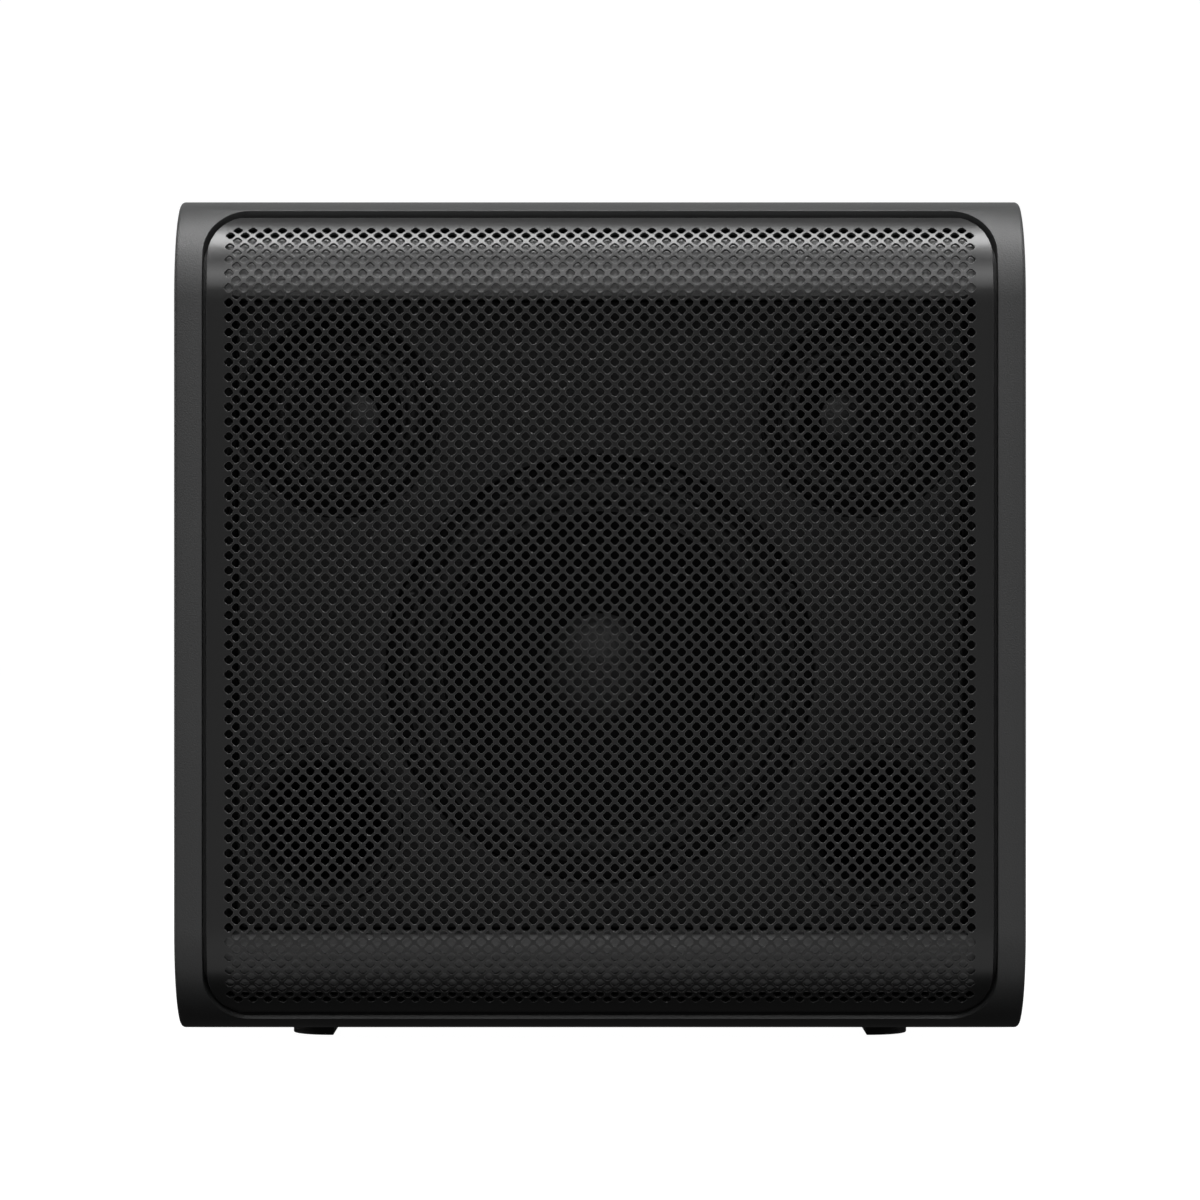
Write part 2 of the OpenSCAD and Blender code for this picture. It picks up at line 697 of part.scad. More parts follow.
// A lead through points that run towards -Y, as one tube with eight sides
module lead(points, r) {
    sides = 8;
    last = (len(points) - 1) * sides;
    tube = [for (p = points, k = [0 : sides - 1]) p + r * [cos(k * 45), 0, sin(k * 45)]];
    walls = [for (i = [0 : len(points) - 2], k = [0 : sides - 1]) let (n = (k + 1) % sides)
        [i * sides + k, i * sides + n, (i + 1) * sides + n, (i + 1) * sides + k]];
    polyhedron(tube, concat(
        walls, [[for (k = [sides - 1 : -1 : 0]) k]], [[for (k = [0 : sides - 1]) last + k]]));
}

// Leads from the amplifier's board to the three drivers
module speaker_leads() color("firebrick") {
    lead([[0, board_at_y - 2, 130], [0, 60, 125], [0, 25, 118], [0, -20, 86], [0, -56, 84]], 1.6);
    for (x = [-1, 1])
        lead([[x * 20, board_at_y - 2, 200], [x * 24, 60, 196], [x * 30, 25, 190],
              [x * 70, -20, 206], [x * pod_x, -55, 214]], 1.6);
}

front_bezel();
cabinet_shell();
cabinet_brace();
rear_cover();
rear_screws();
grille();
grille_magnets();
grille_rest(1);  // upper_grille_rest
grille_rest(-1);  // lower_grille_rest
front_baffle();
baffle_gasket();
baffle_screws();
woofer_basket();
woofer_gasket();
woofer_surround();
woofer_spider();
woofer_top_plate();
woofer_magnet();
woofer_yoke();
woofer_terminals();
driver_screws();
woofer_cone();
woofer_dust_cap();
woofer_voice_coil();
mid_pod(-1);  // left_mid_pod
mid_chamber(-1);  // left_mid_chamber
mid_basket(-1);  // left_mid_basket
mid_surround(-1);  // left_mid_surround
mid_cone(-1);  // left_mid_cone
mid_dust_cap(-1);  // left_mid_dust_cap
mid_voice_coil(-1);  // left_mid_voice_coil
mid_motor(-1);  // left_mid_motor
mid_pod(1);  // right_mid_pod
mid_chamber(1);  // right_mid_chamber
mid_basket(1);  // right_mid_basket
mid_surround(1);  // right_mid_surround
mid_cone(1);  // right_mid_cone
mid_dust_cap(1);  // right_mid_dust_cap
mid_voice_coil(1);  // right_mid_voice_coil
mid_motor(1);  // right_mid_motor
port_tube(-1);  // left_port_tube
port_tube(1);  // right_port_tube
amp_panel();
heatsink();
amp_board();
transformer();
capacitors();
knob(volume_at);  // volume_knob
knob(crossover_at);  // crossover_knob
potentiometers();
phase_switch();
switch_housing();
power_rocker();
rocker_housing();
pair_button();
mains_inlet();
phono_jacks();
status_led();
rubber_feet();
speaker_leads();
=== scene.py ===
"""Active subwoofer: the finished look of every piece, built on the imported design's frame."""

import json
import math

import bmesh
import bpy
from mathutils import Matrix, Vector

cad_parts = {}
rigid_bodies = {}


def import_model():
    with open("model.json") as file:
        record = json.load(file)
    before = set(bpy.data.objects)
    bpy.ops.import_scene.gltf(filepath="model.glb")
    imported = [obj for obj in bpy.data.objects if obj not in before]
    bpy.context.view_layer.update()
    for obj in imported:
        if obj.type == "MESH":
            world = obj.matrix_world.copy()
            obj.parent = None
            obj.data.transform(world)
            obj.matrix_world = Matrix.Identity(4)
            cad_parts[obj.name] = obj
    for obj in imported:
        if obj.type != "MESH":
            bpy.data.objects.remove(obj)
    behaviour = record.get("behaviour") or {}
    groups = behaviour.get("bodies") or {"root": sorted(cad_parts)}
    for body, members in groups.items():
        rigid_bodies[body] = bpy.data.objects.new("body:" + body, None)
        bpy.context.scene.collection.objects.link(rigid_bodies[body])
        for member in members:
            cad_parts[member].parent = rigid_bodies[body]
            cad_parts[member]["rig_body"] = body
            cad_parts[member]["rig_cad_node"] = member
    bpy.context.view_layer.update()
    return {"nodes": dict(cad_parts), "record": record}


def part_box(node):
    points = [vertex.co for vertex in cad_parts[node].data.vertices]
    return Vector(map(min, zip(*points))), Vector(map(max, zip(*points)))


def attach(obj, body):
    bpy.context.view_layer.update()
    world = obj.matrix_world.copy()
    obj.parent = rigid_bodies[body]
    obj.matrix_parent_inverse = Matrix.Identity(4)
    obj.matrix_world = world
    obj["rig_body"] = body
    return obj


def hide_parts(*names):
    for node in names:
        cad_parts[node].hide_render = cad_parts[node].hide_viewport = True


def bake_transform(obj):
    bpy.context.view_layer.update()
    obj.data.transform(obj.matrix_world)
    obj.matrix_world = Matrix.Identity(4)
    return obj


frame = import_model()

bl_info = {
    "name": "Active subwoofer",
    "version": (1, 0, 0),
    "blender": (4, 5, 0),
    "location": "View3D > Sidebar > Subwoofer",
    "description": "Builds the finished pieces, materials and stage of an active subwoofer",
    "category": "Object",
}

mm = 0.001
NODES = frame["nodes"]

# Places and sizes that the design fixes, in millimetres
HALF_W = 156
BASE_Z = 4
TOP_Z = 312
MID_Z = 158
FRONT_Y = -141
SEAM_Y = -97
REAR_SEAM_Y = 121
BACK_Y = 141
BAFFLE_Y = -118
FRONT_R = 38
FLAT_HALF = 116
WOOFER_AT = (0, -109, 138)
MID_AT = (93.6, -105, 231.5)
MID_TILT = 18
POD_AT = (96.6, 231.5)
PORT_AT = (103.1, 80)


# ---- Working on one mesh at a time ----


def deselect():
    if bpy.context.mode != "OBJECT":
        bpy.ops.object.mode_set(mode="OBJECT")
    bpy.ops.object.select_all(action="DESELECT")


def open_mesh(piece):
    """Selects only this piece and starts editing its mesh."""
    deselect()
    piece.select_set(True)
    bpy.context.view_layer.objects.active = piece
    bpy.ops.object.mode_set(mode="EDIT")


def close_mesh():
    """Stops editing and gives the piece back."""
    bpy.ops.object.mode_set(mode="OBJECT")
    return bpy.context.view_layer.objects.active


def edited_mesh():
    return bmesh.from_edit_mesh(bpy.context.view_layer.objects.active.data)


def choose(kind, test):
    """Selects the corners ("VERT"), edges ("EDGE") or faces ("FACE") that pass the test."""
    bpy.ops.mesh.select_mode(type=kind)
    bpy.ops.mesh.select_all(action="DESELECT")
    mesh = edited_mesh()
    mesh.normal_update()
    members = {"VERT": mesh.verts, "EDGE": mesh.edges, "FACE": mesh.faces}[kind]
    for member in members:
        if test(member):
            member.select_set(True)
    mesh.select_flush_mode()
    bmesh.update_edit_mesh(bpy.context.view_layer.objects.active.data)


def centre(part):
    """Middle of an edge or a face, in millimetres."""
    corners = [v.co for v in part.verts]
    return sum(corners, Vector()) / len(corners) / mm


def is_sharp(edge, angle=25):
    return len(edge.link_faces) == 2 and edge.calc_face_angle(0) > math.radians(angle)


def merge(distance=0.002):
    bpy.ops.mesh.select_all(action="SELECT")
    bpy.ops.mesh.remove_doubles(threshold=distance * mm)


def face_outwards():
    bpy.ops.mesh.select_all(action="SELECT")
    bpy.ops.mesh.normals_make_consistent(inside=False)


def face_forwards():
    """Turns an open sheet's faces towards the front."""
    face_outwards()
    if sum(face.normal.y for face in edited_mesh().faces) > 0:
        bpy.ops.mesh.flip_normals()


def fix_place(piece):
    """Moves the piece's own place, turn and size into its mesh."""
    deselect()
    piece.select_set(True)
    bpy.context.view_layer.objects.active = piece
    bpy.ops.object.transform_apply(location=True, rotation=True, scale=True)


def smooth(piece, angle=30):
    deselect()
    piece.select_set(True)
    bpy.context.view_layer.objects.active = piece
    bpy.ops.object.shade_smooth_by_angle(angle=math.radians(angle))


def finish_piece(piece, slot, body="root", stands_for=(), angle=30):
    """Shades a piece, paints it with its slot's finish, gives it its body, and hides the design nodes it
    stands for.
    """
    smooth(piece, angle)
    piece.data.materials.clear()
    piece.data.materials.append(finish_for(slot))
    if body:
        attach(piece, body)
    if stands_for:
        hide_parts(*stands_for)
    return piece


# ---- Ways of making a piece ----


def copy_node(node, name):
    """A free copy of a design node's mesh, with its corners merged and its flat areas cleared."""
    piece = NODES[node].copy()
    piece.data = NODES[node].data.copy()
    piece.name = name
    piece.data.name = name
    piece.parent = None
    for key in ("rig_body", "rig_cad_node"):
        del piece[key]
    bpy.context.scene.collection.objects.link(piece)
    open_mesh(piece)
    bpy.ops.mesh.customdata_custom_splitnormals_clear()
    merge()
    bpy.ops.mesh.dissolve_limited(angle_limit=math.radians(0.4))
    face_outwards()
    return close_mesh()


def round_edges(piece, width, test, segments=3, angle=25):
    """Rounds the sharp edges whose middle (x, y, z, in millimetres) passes the test."""
    open_mesh(piece)
    choose("EDGE", lambda edge: is_sharp(edge, angle) and test(*centre(edge)))
    bpy.ops.mesh.bevel(offset=width * mm, offset_type="OFFSET", segments=segments, profile=0.5,
                       affect="EDGES", clamp_overlap=True, miter_outer="ARC")
    merge(0.001)
    face_outwards()
    return close_mesh()


def new_mesh(name):
    """A new mesh with one corner at the middle, open for editing."""
    deselect()
    bpy.ops.mesh.primitive_plane_add(size=mm, location=(0, 0, 0))
    piece = bpy.context.view_layer.objects.active
    piece.name = name
    piece.data.name = name
    open_mesh(piece)
    bpy.ops.mesh.select_mode(type="VERT")
    bpy.ops.mesh.select_all(action="SELECT")
    bpy.ops.mesh.merge(type="CENTER")
    return piece


def draw(points, closed=True):
    """Draws a line through points (x, z) in millimetres, starting from the one corner there is."""
    last = Vector((0, 0, 0))
    bpy.ops.mesh.select_all(action="SELECT")
    for i, (x, z) in enumerate(points):
        step = Vector((x, 0, z)) * mm - last
        if i:
            bpy.ops.mesh.extrude_region_move(TRANSFORM_OT_translate={"value": step})
        else:
            bpy.ops.transform.translate(value=step)
        last += step
    if closed:
        bpy.ops.mesh.select_all(action="SELECT")
        bpy.ops.mesh.edge_face_add()


def lathe(name, outline, place, steps, closed=True):
    """Turns an outline of (radius, height) points about the local Z axis, then puts it in its place."""
    piece = new_mesh(name)
    draw(outline, closed)
    if closed:
        bpy.ops.mesh.select_all(action="SELECT")
        bpy.ops.mesh.delete(type="ONLY_FACE")
    bpy.ops.mesh.select_all(action="SELECT")
    bpy.ops.mesh.spin(steps=steps, angle=math.tau, center=(0, 0, 0), axis=(0, 0, 1))
    merge()
    face_outwards()
    close_mesh()
    piece.matrix_world = place
    fix_place(piece)
    return piece


def at(x, y, z):
    return Matrix.Translation(Vector((x, y, z)) * mm)


def facing_front(x, y, z):
    """Local Z points forwards from (x, y, z)."""
    return at(x, y, z) @ Matrix.Rotation(math.radians(90), 4, "X")


def woofer_place():
    return facing_front(*WOOFER_AT)


def mid_place(side):
    turn = Matrix.Rotation(math.radians(side * MID_TILT), 4, "Y")
    return facing_front(side * MID_AT[0], MID_AT[1], MID_AT[2]) @ turn


def arc(x, z, r, start, end, steps):
    """Points on an arc about (x, z), angles in degrees anticlockwise from +x."""
    for i in range(steps + 1):
        a = math.radians(start + (end - start) * i / steps)
        yield x + r * math.cos(a), z + r * math.sin(a)


# ---- Finishes ----


class Value:
    """A shader value that plain arithmetic works on."""

    def __init__(self, finish, socket):
        self.finish = finish
        self.socket = socket

    def maths(self, operation, *terms):
        return self.finish.node("ShaderNodeMath", {"operation": operation}, *terms)

    def __add__(self, other):
        return self.maths("ADD", self, other)

    __radd__ = __add__

    def __sub__(self, other):
        return self.maths("SUBTRACT", self, other)

    def __rsub__(self, other):
        return self.maths("SUBTRACT", other, self)

    def __mul__(self, other):
        return self.maths("MULTIPLY", self, other)

    __rmul__ = __mul__

    def __pow__(self, other):
        return self.maths("POWER", self, other)

    def __gt__(self, other):
        return self.maths("GREATER_THAN", self, other)

    def sine(self):
        return self.maths("SINE", self)

    def along(self, axis):
        """One of a vector's three numbers."""
        return self.finish.node("ShaderNodeSeparateXYZ", {}, self, output=axis)


class Finish:
    """A material made of shader nodes that read the piece's own place."""

    def __init__(self, name, metallic=0.0, gloss=0.5, coat=0.0, coat_roughness=0.1):
        self.material = bpy.data.materials.new(name)
        self.material.use_nodes = True
        self.tree = self.material.node_tree
        self.surface = next(n for n in self.tree.nodes if n.type == "BSDF_PRINCIPLED")
        for socket, number in (("Metallic", metallic), ("Specular IOR Level", gloss),
                               ("Coat Weight", coat), ("Coat Roughness", coat_roughness)):
            self.surface.inputs[socket].default_value = number
        self.place = self.node("ShaderNodeTexCoord", {}, output=3)

    def put(self, socket, value):
        if isinstance(value, Value):
            self.tree.links.new(value.socket, socket)
        else:
            socket.default_value = value

    def node(self, kind, settings=None, *inputs, output=0, **named):
        """Adds a node: its type, its settings, its inputs in order, then inputs by name."""
        made = self.tree.nodes.new(kind)
        for key, value in (settings or {}).items():
            setattr(made, key, value)
        for socket, value in zip(made.inputs, inputs):
            self.put(socket, value)
        for key, value in named.items():
            self.put(made.inputs[key.replace("_", " ")], value)
        return Value(self, made.outputs[output])

    def grain(self, size, detail=2.0, stretch=(1, 1, 1), seed=0.0):
        """Soft noise from 0 to 1 whose lumps are about this many millimetres across."""
        spread = self.node("ShaderNodeMapping", {}, Vector=self.place, Scale=stretch, Location=(seed, 0, 0))
        return self.node("ShaderNodeTexNoise", {}, Vector=spread, Scale=1 / (size * mm), Detail=detail,
                         Roughness=0.55)

    def cells(self, size, feature="F1", stretch=(1, 1, 1)):
        """Distance inside small round cells, about this many millimetres across."""
        spread = self.node("ShaderNodeMapping", {}, Vector=self.place, Scale=stretch)
        return self.node("ShaderNodeTexVoronoi", {"feature": feature}, Vector=spread, Scale=1 / (size * mm))

    def radius(self, x, z):
        """Distance from a line along Y through (x, z), in metres."""
        across = self.place.along(0) - x * mm
        up = self.place.along(2) - z * mm
        return (across * across + up * up) ** 0.5

    def paint(self, low, high, amount):
        """Base colour between two colours."""
        mixed = self.tree.nodes.new("ShaderNodeMix")
        mixed.data_type = "RGBA"
        for index, value in ((0, amount), (6, (*low, 1)), (7, (*high, 1))):
            self.put(mixed.inputs[index], value)
        self.put(self.surface.inputs["Base Color"], Value(self, mixed.outputs[2]))

    def shine(self, value):
        self.put(self.surface.inputs["Roughness"], value)

    def relief(self, height, depth):
        """Surface relief of this many millimetres."""
        bump = self.node("ShaderNodeBump", {}, Strength=1.0, Distance=depth * mm, Height=height)
        self.put(self.surface.inputs["Normal"], bump)


def grey(shade, warmth=0.0):
    """A near-neutral colour; positive warmth is redder, negative is bluer."""
    return (shade * (1 + warmth), shade, shade * (1 - warmth))


def moulded(name, low, high, grain, depth, roughness, **options):
    """Moulded or painted surface with a fine even grain."""
    finish = Finish(name, **options)
    fine = finish.grain(grain)
    broad = finish.grain(grain * 60, 3, seed=7.0)
    finish.paint(low, high, fine * 0.8 + broad * 0.2)
    finish.shine(roughness - 0.06 + fine * 0.08 + broad * 0.04)
    finish.relief(fine, depth)
    return finish.material


def cabinet_paint():
    return moulded("spark textured graphite", grey(0.010, -0.01), grey(0.030, -0.01), 0.6, 0.09, 0.55)


def powder_coat():
    """Satin powder coat on the grille's steel, with a painted highlight on the holes' rounded rims."""
    finish = Finish("satin powder coat", gloss=0.55)
    rounded = finish.node("ShaderNodeBevel", {"samples": 6}, Radius=0.22 * mm)
    flat = finish.node("ShaderNodeNewGeometry", {}, output=1)
    facing = finish.node("ShaderNodeVectorMath", {"operation": "DOT_PRODUCT"}, rounded, flat, output=1)
    # Painted highlight: the colour turns paler where the rounded rim's normal turns away from the flat face.
    rim = finish.node("ShaderNodeMath", {"operation": "MULTIPLY", "use_clamp": True}, 1 - facing, 5.0)
    grain = finish.grain(0.35)
    finish.paint(grey(0.002), grey(0.130), rim * 0.98 + grain * 0.02)
    finish.shine(0.30 + grain * 0.06)
    bump = finish.node("ShaderNodeBump", {}, Strength=1.0, Distance=0.008 * mm, Height=grain, Normal=rounded)
    finish.put(finish.surface.inputs["Normal"], bump)
    return finish.material


def felt():
    """Short fibres pressed into a pad."""
    finish = Finish("pressed felt", coat=0.5, coat_roughness=0.4)
    fibres = finish.grain(0.5, 6, stretch=(0.35, 1, 1))
    tufts = finish.grain(2.4, 3, seed=3.0)
    finish.paint(grey(0.12), grey(0.22), fibres * 0.7 + tufts * 0.3)
    finish.shine(0.92 + fibres * 0.06)
    finish.relief(fibres + tufts * 0.8, 0.25)
    return finish.material


def baffle_paint():
    return moulded("matt baffle paint", grey(0.012), grey(0.019), 0.7, 0.03, 0.78, gloss=0.35)


def rubber():
    """Dull rubber with faint moulding rings round the woofer's centre."""
    finish = Finish("surround rubber", gloss=0.3)
    rings = (finish.radius(WOOFER_AT[0], WOOFER_AT[2]) * 5200).sine() * 0.5 + 0.5
    dust = finish.grain(1.8, 4)
    finish.paint(grey(0.003), grey(0.006), dust)
    finish.shine(0.55 + dust * 0.08)
    finish.relief(rings * 0.35 + dust, 0.02)
    return finish.material


def paper():
    """Pressed pulp: crossed fibres and a faint mottle."""
    finish = Finish("pulp cone", gloss=0.12)
    fibres = finish.grain(0.9, 8, stretch=(0.4, 1, 1))
    crossed = finish.grain(0.9, 8, stretch=(1, 1, 0.4), seed=5.0)
    mottle = finish.grain(9, 3, seed=2.0)
    finish.paint(grey(0.001), grey(0.003), fibres * 0.35 + crossed * 0.35 + mottle * 0.3)
    finish.shine(0.62 + mottle * 0.12)
    finish.relief(fibres + crossed, 0.06)
    return finish.material


def cap_paper():
    """Lacquered cloth of the dust caps."""
    finish = Finish("lacquered cap", gloss=0.45)
    weave = (finish.place.along(0) * 9000).sine() * (finish.place.along(2) * 9000).sine()
    mottle = finish.grain(6, 3)
    finish.paint(grey(0.004), grey(0.008), mottle)
    finish.shine(0.42 + mottle * 0.1)
    finish.relief(weave, 0.012)
    return finish.material


def foam():
    """Closed-cell foam strip."""
    finish = Finish("gasket foam")
    bubbles = finish.cells(0.7)
    finish.paint(grey(0.010), grey(0.030), bubbles)
    finish.shine(0.9 - bubbles * 0.1)
    finish.relief(bubbles, 0.15)
    return finish.material


def cloth():
    """Impregnated woven cloth."""
    finish = Finish("spider cloth")
    warp = (finish.place.along(0) * 5600).sine() * 0.5 + 0.5
    weft = (finish.place.along(2) * 5600).sine() * 0.5 + 0.5
    finish.paint((0.35, 0.22, 0.07), (0.55, 0.38, 0.14), warp * weft)
    finish.shine(0.7 + warp * 0.1)
    finish.relief(warp + weft, 0.05)
    return finish.material


def winding():
    """Enamelled copper wire in close turns along Y."""
    finish = Finish("copper winding", metallic=1.0)
    turns = (finish.place.along(1) * 18000).sine() * 0.5 + 0.5
    finish.paint((0.45, 0.16, 0.06), (0.80, 0.38, 0.18), turns)
    finish.shine(0.38 - turns * 0.1)
    finish.relief(turns, 0.05)
    return finish.material


def ferrite():
    """Pressed and ground ceramic magnet."""
    finish = Finish("ferrite")
    pits = finish.cells(0.9)
    cloud = finish.grain(5, 4)
    finish.paint(grey(0.020), grey(0.050), cloud * 0.7 + pits * 0.3)
    finish.shine(0.55 + cloud * 0.15)
    finish.relief(pits, 0.03)
    return finish.material


def metal(name, low, high, roughness, scratch=(1, 1, 18)):
    """Plated or brushed metal with fine scratches."""
    finish = Finish(name, metallic=1.0)
    scratches = finish.grain(1.1, 4, stretch=scratch)
    cloud = finish.grain(9, 2, seed=4.0)
    finish.paint(low, high, scratches * 0.6 + cloud * 0.4)
    finish.shine(roughness - 0.06 + scratches * 0.12)
    finish.relief(scratches, 0.008)
    return finish.material


def circuit_board():
    """Green solder mask over copper tracks and pads."""
    finish = Finish("circuit board", coat=0.4, coat_roughness=0.2)
    tracks = (finish.place.along(0) * 1500 + (finish.place.along(2) * 260).sine() * 2.5).sine() > 0.55
    fibre = finish.grain(1.2, 3)
    finish.paint((0.006, 0.050, 0.020), (0.020, 0.120, 0.050), tracks * 0.8 + fibre * 0.2)
    finish.shine(0.42 + fibre * 0.1)
    finish.relief(tracks, 0.03)
    return finish.material


def tape_turns():
    """Yellow tape wound round the transformer's ring."""
    finish = Finish("transformer tape")
    across = finish.place.along(0)
    back = finish.place.along(1) - 72 * mm
    angle = finish.node("ShaderNodeMath", {"operation": "ARCTAN2"}, back, across)
    turns = (angle * 48).sine() * 0.5 + 0.5
    finish.paint((0.42, 0.24, 0.04), (0.66, 0.42, 0.09), turns)
    finish.shine(0.38 + turns * 0.1)
    finish.relief(turns, 0.12)
    return finish.material


def sleeve():
    """Shrunk plastic sleeve with a pale stripe."""
    finish = Finish("capacitor sleeve", coat=0.3)
    stripe = finish.place.along(2) > 176 * mm
    cloud = finish.grain(3, 2)
    finish.paint((0.012, 0.016, 0.045), (0.35, 0.36, 0.38), stripe * 0.9 + cloud * 0.05)
    finish.shine(0.3 + cloud * 0.1)
    finish.relief(cloud, 0.02)
    return finish.material


def tab_board():
    """Pressed board with a faint paper grain."""
    finish = Finish("terminal board")
    layers = finish.grain(1.0, 5, stretch=(1, 1, 6))
    finish.paint((0.10, 0.045, 0.018), (0.20, 0.095, 0.04), layers)
    finish.shine(0.6 + layers * 0.1)
    finish.relief(layers, 0.03)
    return finish.material


def bare_board():
    """Fibreboard with pressed flecks."""
    finish = Finish("fibreboard")
    flecks = finish.grain(1.6, 8)
    cloud = finish.grain(22, 3, seed=9.0)
    finish.paint((0.20, 0.125, 0.065), (0.36, 0.24, 0.13), flecks * 0.6 + cloud * 0.4)
    finish.shine(0.82 + flecks * 0.1)
    finish.relief(flecks, 0.08)
    return finish.material


def lens():
    """Frosted status light, glowing softly."""
    finish = Finish("status lens", coat=0.6)
    frost = finish.grain(0.4, 3)
    finish.paint((0.45, 0.55, 0.60), (0.70, 0.80, 0.85), frost)
    finish.shine(0.3 + frost * 0.2)
    finish.surface.inputs["Emission Color"].default_value = (0.55, 0.80, 1.0, 1)
    finish.surface.inputs["Emission Strength"].default_value = 0.5
    return finish.material


STEEL = (0.42, 0.43, 0.44), (0.62, 0.63, 0.64)
FINISHES = {
    "bezel_plastic": cabinet_paint,
    "cabinet_board": cabinet_paint,
    "bare_board": bare_board,
    "grille_steel": powder_coat,
    "baffle_paint": baffle_paint,
    "rest_felt": felt,
    "gasket_foam": foam,
    "frame_steel": lambda: moulded("driver frame paint", grey(0.002), grey(0.004), 0.6, 0.03, 0.60,
                                   gloss=0.12),
    "pod_plastic": lambda: moulded("pod plastic", grey(0.003), grey(0.006), 0.6, 0.03, 0.55, gloss=0.2),
    "black_plastic": lambda: moulded("black plastic", grey(0.005), grey(0.010), 0.5, 0.02, 0.50, gloss=0.25),
    "surround_rubber": rubber,
    "cone_paper": paper,
    "cap_paper": cap_paper,
    "spider_cloth": cloth,
    "coil_copper": winding,
    "ferrite": ferrite,
    "plated_steel": lambda: metal("plated steel", *STEEL, 0.30),
    "tab_board": tab_board,
    "screw_black": lambda: moulded("black screw", grey(0.012), grey(0.024), 0.3, 0.01, 0.35, metallic=0.8),
    "magnet_nickel": lambda: metal("nickel plate", (0.55, 0.53, 0.50), (0.72, 0.70, 0.66), 0.22),
    "panel_steel": lambda: moulded("panel powder coat", grey(0.010), grey(0.022), 0.5, 0.045, 0.50),
    "sink_aluminium": lambda: metal("anodised aluminium", grey(0.018), grey(0.040), 0.38, (20, 1, 1)),
    "circuit_board": circuit_board,
    "transformer_tape": tape_turns,
    "capacitor_sleeve": sleeve,
    "knob_plastic": lambda: moulded("knob plastic", grey(0.009), grey(0.018), 0.4, 0.015, 0.36),
    "switch_plastic": lambda: moulded("switch plastic", grey(0.008), grey(0.015), 0.4, 0.01, 0.32),
    "slider_plastic": lambda: moulded("slider plastic", grey(0.55), grey(0.68), 0.4, 0.01, 0.40),
    "button_plastic": lambda: moulded("button plastic", grey(0.14), grey(0.20), 0.4, 0.01, 0.38),
    "jack_metal": lambda: metal("gilt jack", (0.70, 0.46, 0.16), (0.88, 0.62, 0.26), 0.24),
    "led_lens": lens,
    "foot_rubber": lambda: moulded("foot rubber", grey(0.010), grey(0.020), 0.6, 0.05, 0.80),
    "lead_insulation": lambda: moulded("lead insulation", (0.30, 0.015, 0.012), (0.42, 0.025, 0.020),
                                       1.0, 0.01, 0.42),
}
made_finishes = {}


def finish_for(slot):
    if slot not in made_finishes:
        made_finishes[slot] = FINISHES[slot]()
    return made_finishes[slot]


# ---- Cabinet ----

# The grille's opening, in millimetres
LIP_DEPTH = 7
LIP_GAP = 1.75
LEDGE_DEPTH = 2.75
OPENING_HALF_W = 145.8
OPENING_HALF_H = 149.5
OPENING_R = 16.4


def skin_length(height):
    """Length along the curved front from its middle up to a height."""
    return FLAT_HALF + FRONT_R * math.asin((height - FLAT_HALF) / FRONT_R)


OPENING_END = skin_length(OPENING_HALF_H)
OPENING_BEND = OPENING_END - skin_length(OPENING_HALF_H - OPENING_R)


def make_cabinet(edge, lip):
    """Bezel, shell and rear cover with rounded edges, from the design's own meshes."""
    bezel = copy_node("front_bezel", "front_bezel_shaped")
    shape_lip(bezel)
    round_edges(bezel, edge / mm, lambda x, y, z: on_side(x) and y < SEAM_Y - 1, 4)
    round_edges(bezel, lip / mm, on_lip, 4)
    finish_piece(bezel, "bezel_plastic", stands_for=["front_bezel"])
    shell = copy_node("cabinet_shell", "cabinet_shell_shaped")
    round_edges(shell, edge / mm, lambda x, y, z: on_side(x) and (z < BASE_Z + 0.1 or z > TOP_Z - 0.1), 4)
    round_edges(shell, 0.3, lambda x, y, z: on_rim(x, z) and (y < SEAM_Y + 0.1 or y > REAR_SEAM_Y - 0.1),
                2, 60)
    finish_piece(shell, "cabinet_board", stands_for=["cabinet_shell"])
    cover = copy_node("rear_cover", "rear_cover_shaped")
    round_edges(cover, edge / mm, lambda x, y, z: on_side(x) and y > REAR_SEAM_Y + 0.1, 4)
    round_edges(cover, 0.6, lambda x, y, z: y > BACK_Y - 0.1 and abs(x) < 120, 3)
    finish_piece(cover, "bezel_plastic", stands_for=["rear_cover"])


def on_side(x):
    return abs(x) > HALF_W - 0.1


def on_rim(x, z):
    return abs(x) > HALF_W - 1 or z < BASE_Z + 1 or z > TOP_Z - 1


def in_opening(x, z):
    return abs(x) < OPENING_HALF_W + 0.1 and abs(z - MID_Z) < OPENING_HALF_H + 0.1


def on_lip(x, y, z):
    """True on the edge where the bezel's outer face turns into the grille's opening."""
    return in_opening(x, z) and skin_depth(y, z) < 0.15


def shape_lip(bezel):
    """Makes the opening's wall square to the curved front, with a groove beside the ledge."""
    open_mesh(bezel)
    choose("FACE", lambda face: all(in_opening(*(v.co.xz / mm)) for v in face.verts)
           and all(skin_depth(*(v.co.yz / mm)) < LIP_DEPTH + 1 for v in face.verts))
    bpy.ops.mesh.delete(type="FACE")
    choose("EDGE", lambda edge: is_rim(edge) and on_lip(*centre(edge)))
    for inset, depth in ((0, LIP_DEPTH), (LIP_GAP, LIP_DEPTH), (LIP_GAP, LEDGE_DEPTH)):
        bpy.ops.mesh.extrude_region_move(TRANSFORM_OT_translate={"value": (0, 0, 0)})
        for corner in edited_mesh().verts:
            if corner.select:
                x, along = unrolled(corner.co)
                step = LIP_GAP if inset and depth == LIP_DEPTH else 0
                corner.co = rolled(*drawn_in(x, along, step), depth)
        bmesh.update_edit_mesh(bezel.data)
    choose("EDGE", is_rim)
    bpy.ops.mesh.bridge_edge_loops()
    face_outwards()
    close_mesh()


